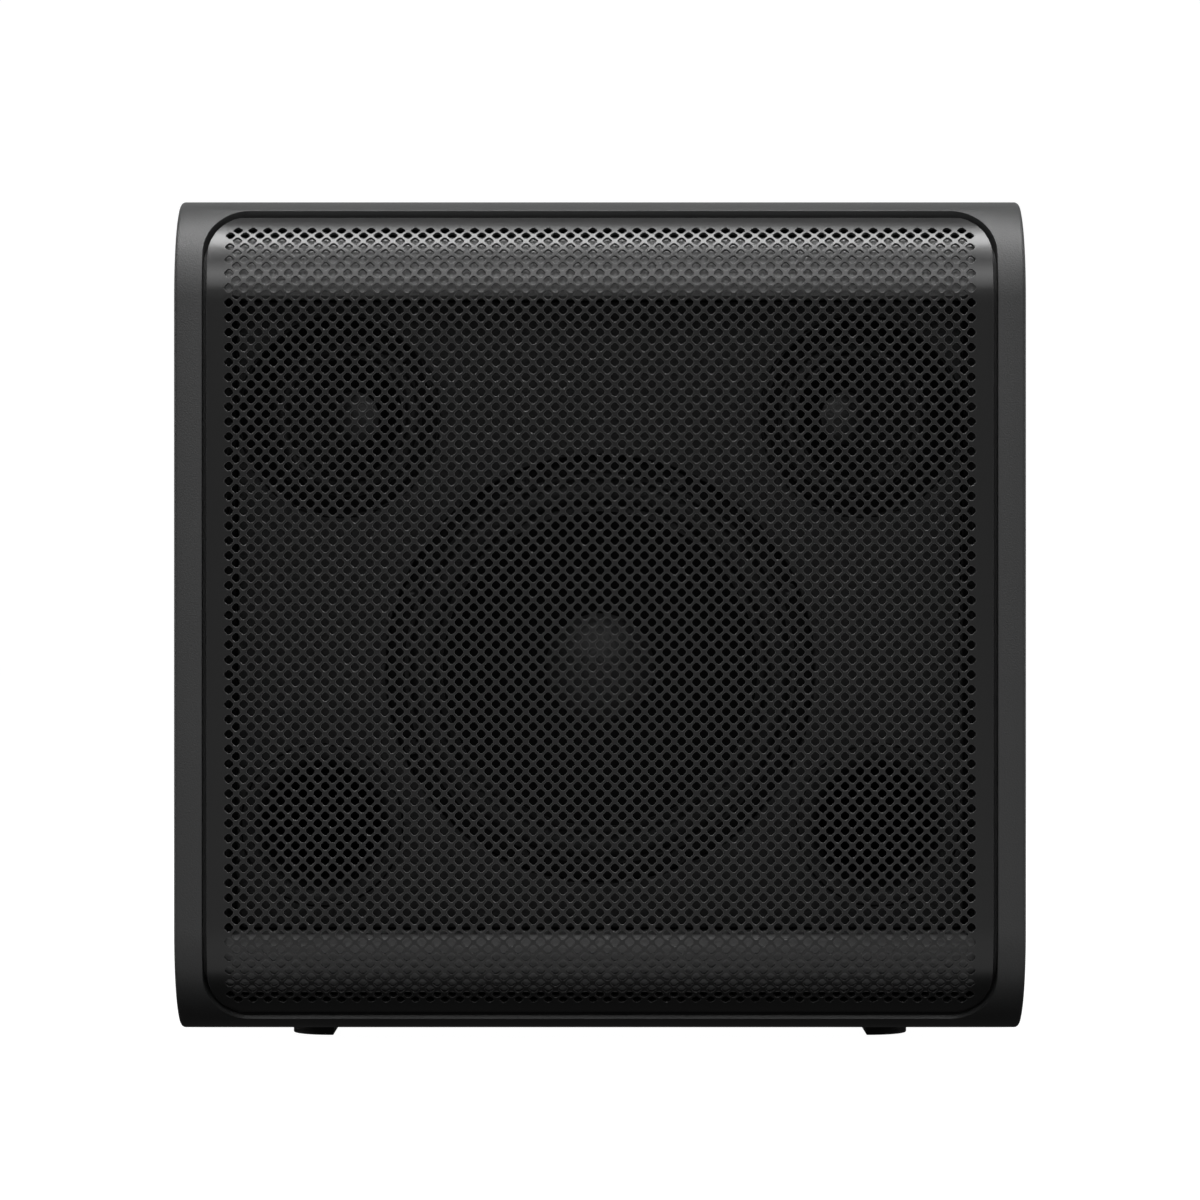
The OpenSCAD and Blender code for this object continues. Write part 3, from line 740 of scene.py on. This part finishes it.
def unrolled(co):
    """(x, length along the outer skin) of a place, in millimetres."""
    over = abs(co.z / mm - MID_Z) - FLAT_HALF
    if over <= 0:
        return co.x / mm, co.z / mm - MID_Z
    turn = math.atan2(over, FRONT_Y + FRONT_R - co.y / mm)
    return co.x / mm, math.copysign(FLAT_HALF + FRONT_R * turn, co.z / mm - MID_Z)


def rolled(x, along, depth):
    """The place at a depth below the outer skin, in metres."""
    turn = max(abs(along) - FLAT_HALF, 0) / FRONT_R
    r = FRONT_R - depth
    z = min(abs(along), FLAT_HALF) + r * math.sin(turn)
    return Vector((x, FRONT_Y + FRONT_R - r * math.cos(turn), MID_Z + math.copysign(z, along))) * mm


def drawn_in(x, along, step):
    """Moves a place on the opening's outline inwards by a step."""
    mid_x, mid_s = OPENING_HALF_W - OPENING_R, OPENING_END - OPENING_BEND
    if abs(x) > mid_x and abs(along) > mid_s:
        new_x = mid_x + (abs(x) - mid_x) * (1 - step / OPENING_R)
        new_s = mid_s + (abs(along) - mid_s) * (1 - step / OPENING_BEND)
    elif abs(x) > mid_x:
        new_x, new_s = abs(x) - step, abs(along)
    else:
        new_x, new_s = abs(x), abs(along) - step
    return math.copysign(new_x, x), math.copysign(new_s, along)


def skin_depth(y, z):
    """Depth of a place below the cabinet's curved front, in millimetres."""
    over = abs(z - MID_Z) - FLAT_HALF
    back = y - FRONT_Y - FRONT_R
    if over <= 0:
        return y - FRONT_Y
    if back >= 0:
        return FRONT_R - over
    return FRONT_R - math.hypot(over, back)


# ---- Grille ----

# The sheet's place, its corners, the holes on each side of its middle and what the lattice must cover
GRILLE_SET = 1.6
CORNER_R = 14.7
FIELD_ROWS = 53
FIELD_SIDE = 25
LATTICE_REACH = 289


def make_grille(pitch, row_pitch, bar, corner, sheet):
    """Perforated sheet, cut flat as a lattice of bars, then curved to the cabinet's front."""
    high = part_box("grille")[1] / mm
    grille = lattice(pitch / mm, row_pitch / mm, bar / mm, corner / mm)
    trim_field(pitch / mm, row_pitch / mm)
    add_margin(high.x, high.z - MID_Z)
    clear_flat_margin(FIELD_SIDE * pitch / mm)
    close_mesh()
    curve_to_front(grille, GRILLE_SET)
    open_mesh(grille)
    face_forwards()
    close_mesh()
    thick = grille.modifiers.new("thickness", "SOLIDIFY")
    thick.thickness = sheet
    thick.offset = -1
    thick.use_even_offset = True
    bpy.ops.object.modifier_apply(modifier=thick.name)
    return finish_piece(grille, "grille_steel", stands_for=["grille"], angle=50)


def lattice(pitch, row_pitch, bar, corner):
    """Bars and their crossings over more than the whole sheet, flat in X and Z."""
    cell = pitch / math.sqrt(2)
    side = bar + 2 * corner
    deselect()
    bpy.ops.mesh.primitive_plane_add(size=side * mm, location=(0, 0, 0))
    grille = bpy.context.view_layer.objects.active
    grille.name = "perforated_grille"
    grille.data.name = grille.name
    open_mesh(grille)
    bpy.ops.mesh.select_all(action="SELECT")
    bpy.ops.mesh.bevel(offset=corner * mm, offset_type="ABSOLUTE", segments=1, affect="VERTICES")
    for axis in (0, 1):
        reach = [(cell - side) * mm if i == axis else 0 for i in range(3)]
        choose("EDGE", lambda edge: is_rim(edge) and abs(centre(edge)[axis] - side / 2) < 0.01)
        bpy.ops.mesh.extrude_region_move(TRANSFORM_OT_translate={"value": reach})
    close_mesh()
    count = 2 * math.ceil(LATTICE_REACH / math.sqrt(2) / cell) + 2
    for axis in (0, 1):
        rows = grille.modifiers.new("rows", "ARRAY")
        rows.count = count
        rows.use_relative_offset = False
        rows.use_constant_offset = True
        rows.constant_offset_displace = [cell * mm if i == axis else 0 for i in range(3)]
        rows.use_merge_vertices = True
        rows.merge_threshold = 0.01 * mm
        bpy.ops.object.modifier_apply(modifier=rows.name)
    open_mesh(grille)
    merge(0.01)
    middle = (count // 2 - 0.5) * cell * mm
    bpy.ops.transform.translate(value=(-middle, -middle, 0))
    bpy.ops.transform.rotate(value=math.radians(45), orient_axis="Z", center_override=(0, 0, 0))
    bpy.ops.transform.rotate(value=math.radians(90), orient_axis="X", center_override=(0, 0, 0))
    bpy.ops.transform.resize(value=(1, 1, row_pitch * 2 / pitch), center_override=(0, 0, 0))
    return grille


def is_rim(edge):
    return len(edge.link_faces) == 1


def outside_field(corner, pitch, row_pitch):
    """True when a corner of the lattice belongs to a hole beyond the perforated field."""
    x, z = corner.co.x / mm, corner.co.z / mm
    holes = []
    for row in (math.floor(z / row_pitch), math.floor(z / row_pitch) + 1):
        shift = 0.5 * (row % 2)
        place = round(x / pitch - shift) + shift
        holes.append((math.hypot(x - place * pitch, z - row * row_pitch), row, place))
    row, place = min(holes)[1:]
    return abs(row) > FIELD_ROWS or abs(place) > FIELD_SIDE + 0.1


def trim_field(pitch, row_pitch):
    """Fills the holes outside the perforated field and trims the sheet round it."""
    choose("VERT", lambda corner: outside_field(corner, pitch, row_pitch))
    bpy.ops.mesh.fill_holes(sides=8)
    reach_x = (FIELD_SIDE + 0.5) * pitch
    reach_z = FIELD_ROWS * row_pitch + 0.46 * pitch
    for sign in (-1, 1):
        for normal, reach in (((sign, 0, 0), reach_x), ((0, 0, sign), reach_z)):
            bpy.ops.mesh.select_all(action="SELECT")
            bpy.ops.mesh.bisect(plane_co=Vector(normal) * reach * mm, plane_no=normal, clear_outer=True)


def add_margin(half_w, half_h):
    """Plain margin from the field's edge to the sheet's rounded outline, in three steps."""
    edges = [max(v.co[axis] for v in edited_mesh().verts) - 0.01 * mm for axis in (0, 2)]
    choose("EDGE", lambda edge: all(abs(v.co.x) > edges[0] for v in edge.verts)
           or all(abs(v.co.z) > edges[1] for v in edge.verts))
    for share in (1 / 3, 1 / 2, 1):
        bpy.ops.mesh.extrude_region_move(TRANSFORM_OT_translate={"value": (0, 0, 0)})
        for corner in edited_mesh().verts:
            if corner.select:
                x, z = on_outline(corner.co.x / mm, corner.co.z / mm, half_w, half_h)
                corner.co = corner.co.lerp(Vector((x, 0, z)) * mm, share)
    bmesh.update_edit_mesh(bpy.context.view_layer.objects.active.data)
    end_x = (half_w - CORNER_R) * mm
    choose("EDGE", lambda edge: abs(edge.verts[0].co.x - edge.verts[1].co.x) < 0.01 * mm
           and all(abs(v.co.z) > edges[1] and abs(v.co.x) < end_x for v in edge.verts))
    bpy.ops.mesh.dissolve_edges(use_verts=True)


def on_outline(x, s, half_w, half_h):
    """Where a place near the sheet's edge meets its outline; s is the length along the side profile."""
    bend = FRONT_R - GRILLE_SET
    over = max(abs(s) - FLAT_HALF, 0)
    height = min(abs(s), FLAT_HALF) + bend * math.sin(over / bend)
    mid_x, mid_h = half_w - CORNER_R, half_h - CORNER_R
    if abs(x) > mid_x and height > mid_h:
        grow = CORNER_R / math.hypot(abs(x) - mid_x, height - mid_h)
        new_x = mid_x + (abs(x) - mid_x) * grow
        new_h = mid_h + (height - mid_h) * grow
    elif abs(x) > mid_x:
        new_x, new_h = half_w, height
    else:
        new_x, new_h = abs(x), half_h
    over = max(new_h - FLAT_HALF, 0)
    length = min(new_h, FLAT_HALF) + bend * math.asin(over / bend)
    return math.copysign(new_x, x), math.copysign(length, s)


def clear_flat_margin(field_x):
    """Makes each flat side margin one face."""
    choose("FACE", lambda face: abs(centre(face).z) < FLAT_HALF - 4
           and all(abs(v.co.x) / mm > field_x - 0.75 for v in face.verts))
    bpy.ops.mesh.dissolve_limited(angle_limit=math.radians(0.5))


def curve_to_front(piece, depth):
    """Bends a flat sheet (X and length along the profile) round the cabinet's long front curves."""
    radius = FRONT_R - depth
    for corner in piece.data.vertices:
        s = corner.co.z / mm
        over = abs(s) - FLAT_HALF
        y, z = FRONT_Y + depth, s
        if over > 0:
            a = over / radius
            y = FRONT_Y + FRONT_R - radius * math.cos(a)
            z = math.copysign(FLAT_HALF + radius * math.sin(a), s)
        corner.co = Vector((corner.co.x, y * mm, (MID_Z + z) * mm))


# ---- Baffle, rests and feet ----


def make_baffle():
    baffle = copy_node("front_baffle", "front_baffle_shaped")
    round_edges(baffle, 0.7, lambda x, y, z: y < BAFFLE_Y + 0.05, 3, 60)
    finish_piece(baffle, "baffle_paint", stands_for=["front_baffle"])
    for node in ("upper_grille_rest", "lower_grille_rest"):
        rest = copy_node(node, node + "_padded")
        round_edges(rest, 2.6, lambda x, y, z: y < -107.5, 5, 40)
        finish_piece(rest, "rest_felt", stands_for=[node], angle=60)


def make_feet():
    feet = copy_node("rubber_feet", "rubber_feet_shaped")
    round_edges(feet, 0.8, lambda x, y, z: z < 0.05, 3, 60)
    finish_piece(feet, "foot_rubber", stands_for=["rubber_feet"])


# ---- Woofer ----


def make_woofer(steps):
    place = woofer_place()
    cone = lathe("woofer_cone_turned", cone_outline(61, 5.0, 19, -19.2, 0.8, 1.2), place, steps)
    finish_piece(cone, "cone_paper", "woofer_cone", ["woofer_cone"], 40)
    cap = lathe("woofer_dust_cap_turned", dome_outline(20.5, 6.5, 0.6, -17.9), place, steps, closed=False)
    finish_piece(cap, "cap_paper", "woofer_cone", ["woofer_dust_cap"], 40)
    outer, inner = surround_outlines(66, 5, 1, 5.0, 58.5, 72.6)
    fixed = lathe("woofer_surround_outer", outer, place, steps)
    finish_piece(fixed, "surround_rubber", "root", ["woofer_surround"], 50)
    moving = lathe("woofer_surround_inner", inner, place, steps)
    finish_piece(moving, "surround_rubber", None, ["woofer_surround"], 50)
    flex(moving)
    basket = copy_node("woofer_basket", "woofer_basket_shaped")
    round_edges(basket, 0.6, lambda x, y, z: y < -113.1, 3, 50)
    finish_piece(basket, "frame_steel", stands_for=["woofer_basket"], angle=40)


def make_small_drivers(steps):
    for side, name in ((-1, "left_mid"), (1, "right_mid")):
        place = mid_place(side)
        body = name + "_cone"
        cone = lathe(name + "_cone_turned", cone_outline(23.6, 2.0, 8.1, -6.0, 0.6, 0.4), place, steps)
        finish_piece(cone, "cone_paper", body, [name + "_cone"], 40)
        cap = lathe(name + "_dust_cap_turned", dome_outline(10, 3.4, 0.5, -4.7), place, steps, closed=False)
        finish_piece(cap, "cap_paper", body, [name + "_dust_cap"], 40)
        outer, inner = surround_outlines(26, 2.6, 0.6, 2.0, 22.2, 29.6)
        fixed = lathe(name + "_surround_outer", outer, place, steps)
        finish_piece(fixed, "surround_rubber", "root", [name + "_surround"], 50)
        moving = lathe(name + "_surround_inner", inner, place, steps)
        finish_piece(moving, "surround_rubber", None, [name + "_surround"], 50)
        flex(moving)
        finish_piece(pod(name, side, place, steps), "pod_plastic", "root", [name + "_pod"], 40)


def cone_outline(edge_r, edge_z, coil_r, coil_z, sheet, sag):
    """Outline of a paper cone with a glueing land and a slightly hollow flare."""
    land_r = edge_r - 3 * edge_r / 61
    top = []
    for i in range(13):
        t = i / 12
        top.append((land_r + (coil_r - land_r) * t,
                    edge_z + (coil_z - edge_z) * t - sag * math.sin(math.pi * t)))
    under = [(x, z - sheet * 1.1) for x, z in reversed(top)]
    return [(edge_r, edge_z - sheet), (edge_r, edge_z), *top, *under[:-1], (land_r, edge_z - sheet)]


def dome_outline(base_r, crown, sheet, base_z):
    """Outline of a dome's shell, from its crown out to the rim and back inside."""
    ball = (base_r ** 2 + crown ** 2) / (2 * crown)
    half = math.asin(base_r / ball)
    outer, inner = [], []
    for i in range(15):
        a = half * i / 14
        outer.append((ball * math.sin(a), base_z + crown - ball + ball * math.cos(a)))
        inner.append(((ball - sheet) * math.sin(a), base_z + crown - ball + (ball - sheet) * math.cos(a)))
    return outer + inner[::-1]


def surround_outlines(r, roll, sheet, base, inner_land, outer_land, steps=14):
    """Sections of a rolled surround's outer and inner halves, which meet at the crest."""
    small = roll - sheet
    outer = [(outer_land, base - sheet + 0.2), (outer_land, base + 0.2), (r + roll, base + 0.2),
             *list(arc(r, base, roll, 4, 90, steps)), *list(arc(r, base, small, 90, 0, steps)),
             (r + small, base - sheet + 0.2)]
    inner = [*arc(r, base, roll, 90, 176, steps), (inner_land, base + sheet), (inner_land, base),
             *arc(r, base, small, 180, 90, steps)]
    return outer, inner


def flex(piece):
    """Moves a surround's inner half's place and turn into its mesh."""
    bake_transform(piece)


def pod(name, side, place, steps):
    """Slanting funnel between the round opening in the baffle and the tilted driver."""
    piece = new_mesh(name + "_pod_shaped")
    bpy.ops.mesh.select_all(action="SELECT")
    bpy.ops.mesh.delete(type="VERT")
    x, z = side * POD_AT[0], POD_AT[1]
    back_y = BAFFLE_Y + 32
    lean = math.tan(math.radians(MID_TILT)) * (back_y - MID_AT[1])
    rings = [
        (facing_front(x, back_y, z), 37.3), (facing_front(x, BAFFLE_Y + 0.35, z), 37.3),
        (facing_front(x, BAFFLE_Y + 0.1, z), 37.2), (facing_front(x, BAFFLE_Y, z), 36.95),
        (facing_front(x, BAFFLE_Y + 0.1, z), 36.6), (facing_front(x, BAFFLE_Y + 0.5, z), 36.4),
        (place @ at(0, 0, 3.2), 34.3), (place @ at(0, 0, 1.9), 34.2),
        (place, 34.2), (place, 29.5), (place @ at(0, 0, -15), 20.5),
        (facing_front(side * (MID_AT[0] - lean), back_y, z), 20.6),
    ]
    for where, radius in rings:
        bpy.ops.mesh.select_all(action="DESELECT")
        bpy.ops.mesh.primitive_circle_add(vertices=steps, radius=radius * mm)
        for corner in edited_mesh().verts:
            if corner.select:
                corner.co = where @ corner.co
    bmesh.update_edit_mesh(piece.data)
    return bridge_rings(piece, steps, len(rings))


def bridge_rings(piece, steps, count):
    """Joins the rings of a piece in the order they were added, and the last to the first."""
    mesh = edited_mesh()
    mesh.verts.ensure_lookup_table()
    for i in range(count):
        this, following = i * steps, ((i + 1) % count) * steps
        for k in range(steps):
            n = (k + 1) % steps
            corners = [mesh.verts[j] for j in (this + k, this + n, following + n, following + k)]
            mesh.faces.new(corners)
    bmesh.update_edit_mesh(piece.data)
    bpy.ops.mesh.select_all(action="SELECT")
    bpy.ops.mesh.delete_loose()
    face_outwards()
    return close_mesh()


# ---- Ports ----


def make_ports(steps):
    for side, name in ((-1, "left_port_tube"), (1, "right_port_tube")):
        flare = list(arc(28, -6, 6, 90, 180, 12))
        outline = [(24.5, -130), (24.5, -12), (30, -12), (30, -0.4), (29.6, 0), *flare, (22, -130)]
        tube = lathe(name + "_turned", outline, facing_front(side * PORT_AT[0], BAFFLE_Y, PORT_AT[1]), steps)
        finish_piece(tube, "black_plastic", stands_for=[name], angle=40)


# ---- Rear panel ----


def make_rear():
    softened = {
        "amp_panel": ("panel_steel", 0.4, lambda x, y, z: y > 128.4),
        "heatsink": ("sink_aluminium", 0.35, lambda x, y, z: y > 139),
        "mains_inlet": ("black_plastic", 0.4, lambda x, y, z: y > 131),
        "rocker_housing": ("switch_plastic", 0.4, lambda x, y, z: y > 130),
        "power_rocker": ("switch_plastic", 0.5, lambda x, y, z: y > 126),
        "phase_switch": ("slider_plastic", 0.4, lambda x, y, z: y > 131),
        "pair_button": ("button_plastic", 0.5, lambda x, y, z: y > 130),
        "phono_jacks": ("jack_metal", 0.3, lambda x, y, z: y > 129),
        "volume_knob": ("knob_plastic", 0.35, lambda x, y, z: y > 139.5),
        "crossover_knob": ("knob_plastic", 0.35, lambda x, y, z: y > 139.5),
        "rear_screws": ("screw_black", 0.25, lambda x, y, z: True),
        "driver_screws": ("screw_black", 0.25, lambda x, y, z: y < -105),
    }
    for node, (slot, width, test) in softened.items():
        piece = copy_node(node, node + "_shaped")
        round_edges(piece, width, test, 2, 50)
        finish_piece(piece, slot, BODY_OF.get(node, "root"), [node], 40)


BODY_OF = {node: body for body, nodes in frame["record"]["behaviour"]["bodies"].items() for node in nodes}


def paint_design_nodes():
    """Paints every design node that is still shown, by its slot."""
    slots = {part["node"]: part["material_slot"] for part in frame["record"]["subparts"]}
    for node, piece in NODES.items():
        piece.data.materials.clear()
        piece.data.materials.append(finish_for(slots[node]))


# ---- Stage ----


def area_light(name, place, aim, size, power):
    """A rectangular soft light at a place, facing the aim, both in metres."""
    deselect()
    toward = Vector(aim) - Vector(place)
    bpy.ops.object.light_add(type="AREA", location=place, rotation=toward.to_track_quat("-Z", "Y").to_euler())
    light = bpy.context.view_layer.objects.active
    light.name = name
    light.data.shape = "RECTANGLE"
    light.data.size, light.data.size_y = size
    light.data.energy = power
    light.visible_camera = False


def pale_finish(name, level):
    """Paper-white surface that glows enough to stay white, with a faint tooth."""
    finish = Finish(name)
    tooth = finish.grain(40, 3)
    finish.paint(grey(0.08), grey(0.10), tooth)
    finish.shine(0.9 + tooth * 0.05)
    finish.surface.inputs["Emission Color"].default_value = (1, 1, 1, 1)
    finish.surface.inputs["Emission Strength"].default_value = level
    return finish.material


def make_stage(key, fill, floor_level):
    scene = bpy.context.scene
    scene.view_settings.view_transform = "Standard"
    scene.view_settings.look = "None"
    deselect()
    bpy.ops.mesh.primitive_plane_add(size=24, location=(0, 8, 0))
    floor = bpy.context.view_layer.objects.active
    floor.name = "floor"
    bpy.ops.mesh.primitive_plane_add(size=30, location=(0, 9, 0), rotation=(math.radians(90), 0, 0))
    backdrop = bpy.context.view_layer.objects.active
    backdrop.name = "backdrop"
    for sheet, level in ((floor, floor_level), (backdrop, 1.0)):
        fix_place(sheet)
        sheet.data.materials.append(pale_finish(sheet.name + " paper", level))
        sheet.visible_diffuse = False
        sheet.visible_glossy = False
    middle = (0, 0, 0.158)
    area_light("key above", (0, -0.4, 1.85), middle, (2.4, 0.55), key)
    area_light("front above", (0, -2.2, 1.6), middle, (2.4, 0.8), key * 0.42)
    area_light("rim above", (0, 1.6, 0.9), middle, (2.6, 1.0), key * 0.09)
    for side in (-1, 1):
        area_light("side rim", (side * 1.6, 0.5, 0.4), middle, (0.7, 1.4), key * 0.12)
    area_light("floor light", (0, -1.65, 0.006), (0, -1.65, 1), (6, 3), key * 0.45)
    world = scene.world or bpy.data.worlds.new("room")
    scene.world = world
    world.use_nodes = True
    background = next(n for n in world.node_tree.nodes if n.type == "BACKGROUND")
    background.inputs["Color"].default_value = (1, 1, 1, 1)
    background.inputs["Strength"].default_value = fill
    bpy.ops.object.camera_add(location=(0, -1.923, 0.1635), rotation=(math.radians(90), 0, 0))
    camera = bpy.context.view_layer.objects.active
    camera.name = "camera"
    camera.data.lens = 146.1
    camera.data.sensor_width = 36
    scene.camera = camera


# ---- Settings, operators and panel ----


def length(name, description, default):
    return bpy.props.FloatProperty(name=name, description=description, default=default, min=0,
                                   unit="LENGTH", precision=5)


class CabinetSettings(bpy.types.PropertyGroup):
    edge: length("Edge radius", "Rounding along the cabinet's long side edges", 1.5 * mm)
    lip: length("Lip radius", "Rounding of the bezel's lip round the grille", 1.1 * mm)


class GrilleSettings(bpy.types.PropertyGroup):
    pitch: length("Hole pitch", "Distance between holes along a row", 5.44 * mm)
    row_pitch: length("Row pitch", "Distance between rows of holes", 2.725 * mm)
    bar: length("Bar width", "Width of the metal between two holes", 0.86 * mm)
    corner: length("Corner cut", "Cut across each corner of a hole", 0.62 * mm)
    sheet: length("Sheet", "Thickness of the steel", 1.1 * mm)


class DriverSettings(bpy.types.PropertyGroup):
    steps: bpy.props.IntProperty(name="Steps", description="Steps round each turned piece",
                                 default=96, min=24)


class StageSettings(bpy.types.PropertyGroup):
    key: bpy.props.FloatProperty(name="Key light", description="Power of the main soft light, in watts",
                                 default=66, min=0)
    fill: bpy.props.FloatProperty(name="Fill", description="Strength of the even light all round",
                                  default=0.05, min=0)
    floor_level: bpy.props.FloatProperty(name="Floor glow", description="Glow that keeps the floor white",
                                         default=1.0, min=0)


class SUBWOOFER_OT_cabinet(bpy.types.Operator):
    """Build the bezel, the shell, the rear cover and the feet"""

    bl_idname = "subwoofer.cabinet"
    bl_label = "Cabinet"

    def execute(self, context):
        settings = context.scene.subwoofer_cabinet
        make_cabinet(settings.edge, settings.lip)
        make_feet()
        return {"FINISHED"}


class SUBWOOFER_OT_grille(bpy.types.Operator):
    """Build the curved perforated grille"""

    bl_idname = "subwoofer.grille"
    bl_label = "Grille"

    def execute(self, context):
        settings = context.scene.subwoofer_grille
        make_grille(settings.pitch, settings.row_pitch, settings.bar, settings.corner, settings.sheet)
        return {"FINISHED"}


class SUBWOOFER_OT_baffle(bpy.types.Operator):
    """Build the baffle, the grille rests and the reflex ports"""

    bl_idname = "subwoofer.baffle"
    bl_label = "Baffle and ports"

    def execute(self, context):
        make_baffle()
        make_ports(context.scene.subwoofer_drivers.steps)
        return {"FINISHED"}


class SUBWOOFER_OT_woofer(bpy.types.Operator):
    """Build the woofer's cone, dust cap, surround and frame"""

    bl_idname = "subwoofer.woofer"
    bl_label = "Woofer"

    def execute(self, context):
        make_woofer(context.scene.subwoofer_drivers.steps)
        return {"FINISHED"}


class SUBWOOFER_OT_small_drivers(bpy.types.Operator):
    """Build the two small drivers and their pods"""

    bl_idname = "subwoofer.small_drivers"
    bl_label = "Small drivers"

    def execute(self, context):
        make_small_drivers(context.scene.subwoofer_drivers.steps)
        return {"FINISHED"}


class SUBWOOFER_OT_rear(bpy.types.Operator):
    """Build the rear panel's controls and sockets"""

    bl_idname = "subwoofer.rear"
    bl_label = "Rear panel"

    def execute(self, context):
        make_rear()
        return {"FINISHED"}


class SUBWOOFER_OT_paint(bpy.types.Operator):
    """Paint the design's own pieces that stay in view"""

    bl_idname = "subwoofer.paint"
    bl_label = "Paint inner pieces"

    def execute(self, context):
        paint_design_nodes()
        return {"FINISHED"}


class SUBWOOFER_OT_stage(bpy.types.Operator):
    """Set up the floor, the backdrop, the lights and the camera"""

    bl_idname = "subwoofer.stage"
    bl_label = "Stage"

    def execute(self, context):
        settings = context.scene.subwoofer_stage
        make_stage(settings.key, settings.fill, settings.floor_level)
        return {"FINISHED"}


STEPS = (
    SUBWOOFER_OT_paint,
    SUBWOOFER_OT_cabinet,
    SUBWOOFER_OT_grille,
    SUBWOOFER_OT_baffle,
    SUBWOOFER_OT_woofer,
    SUBWOOFER_OT_small_drivers,
    SUBWOOFER_OT_rear,
    SUBWOOFER_OT_stage,
)
SETTINGS = {
    "subwoofer_cabinet": CabinetSettings,
    "subwoofer_grille": GrilleSettings,
    "subwoofer_drivers": DriverSettings,
    "subwoofer_stage": StageSettings,
}


class SUBWOOFER_PT_panel(bpy.types.Panel):
    """Lists the steps that build the subwoofer"""

    bl_idname = "SUBWOOFER_PT_panel"
    bl_label = "Subwoofer"
    bl_space_type = "VIEW_3D"
    bl_region_type = "UI"
    bl_category = "Subwoofer"

    def draw(self, context):
        for name, group in SETTINGS.items():
            for key in group.__annotations__:
                self.layout.prop(getattr(context.scene, name), key)
        for step in STEPS:
            self.layout.operator(step.bl_idname)


def register():
    for group in (*SETTINGS.values(), *STEPS, SUBWOOFER_PT_panel):
        bpy.utils.register_class(group)
    for name, group in SETTINGS.items():
        setattr(bpy.types.Scene, name, bpy.props.PointerProperty(type=group))


def unregister():
    for name in SETTINGS:
        delattr(bpy.types.Scene, name)
    for group in (SUBWOOFER_PT_panel, *reversed(STEPS), *SETTINGS.values()):
        bpy.utils.unregister_class(group)


def main():
    register()
    bpy.ops.subwoofer.paint()
    bpy.ops.subwoofer.cabinet()
    bpy.ops.subwoofer.grille()
    bpy.ops.subwoofer.baffle()
    bpy.ops.subwoofer.woofer()
    bpy.ops.subwoofer.small_drivers()
    bpy.ops.subwoofer.rear()
    bpy.ops.subwoofer.stage()


if __name__ == "__main__":
    main()
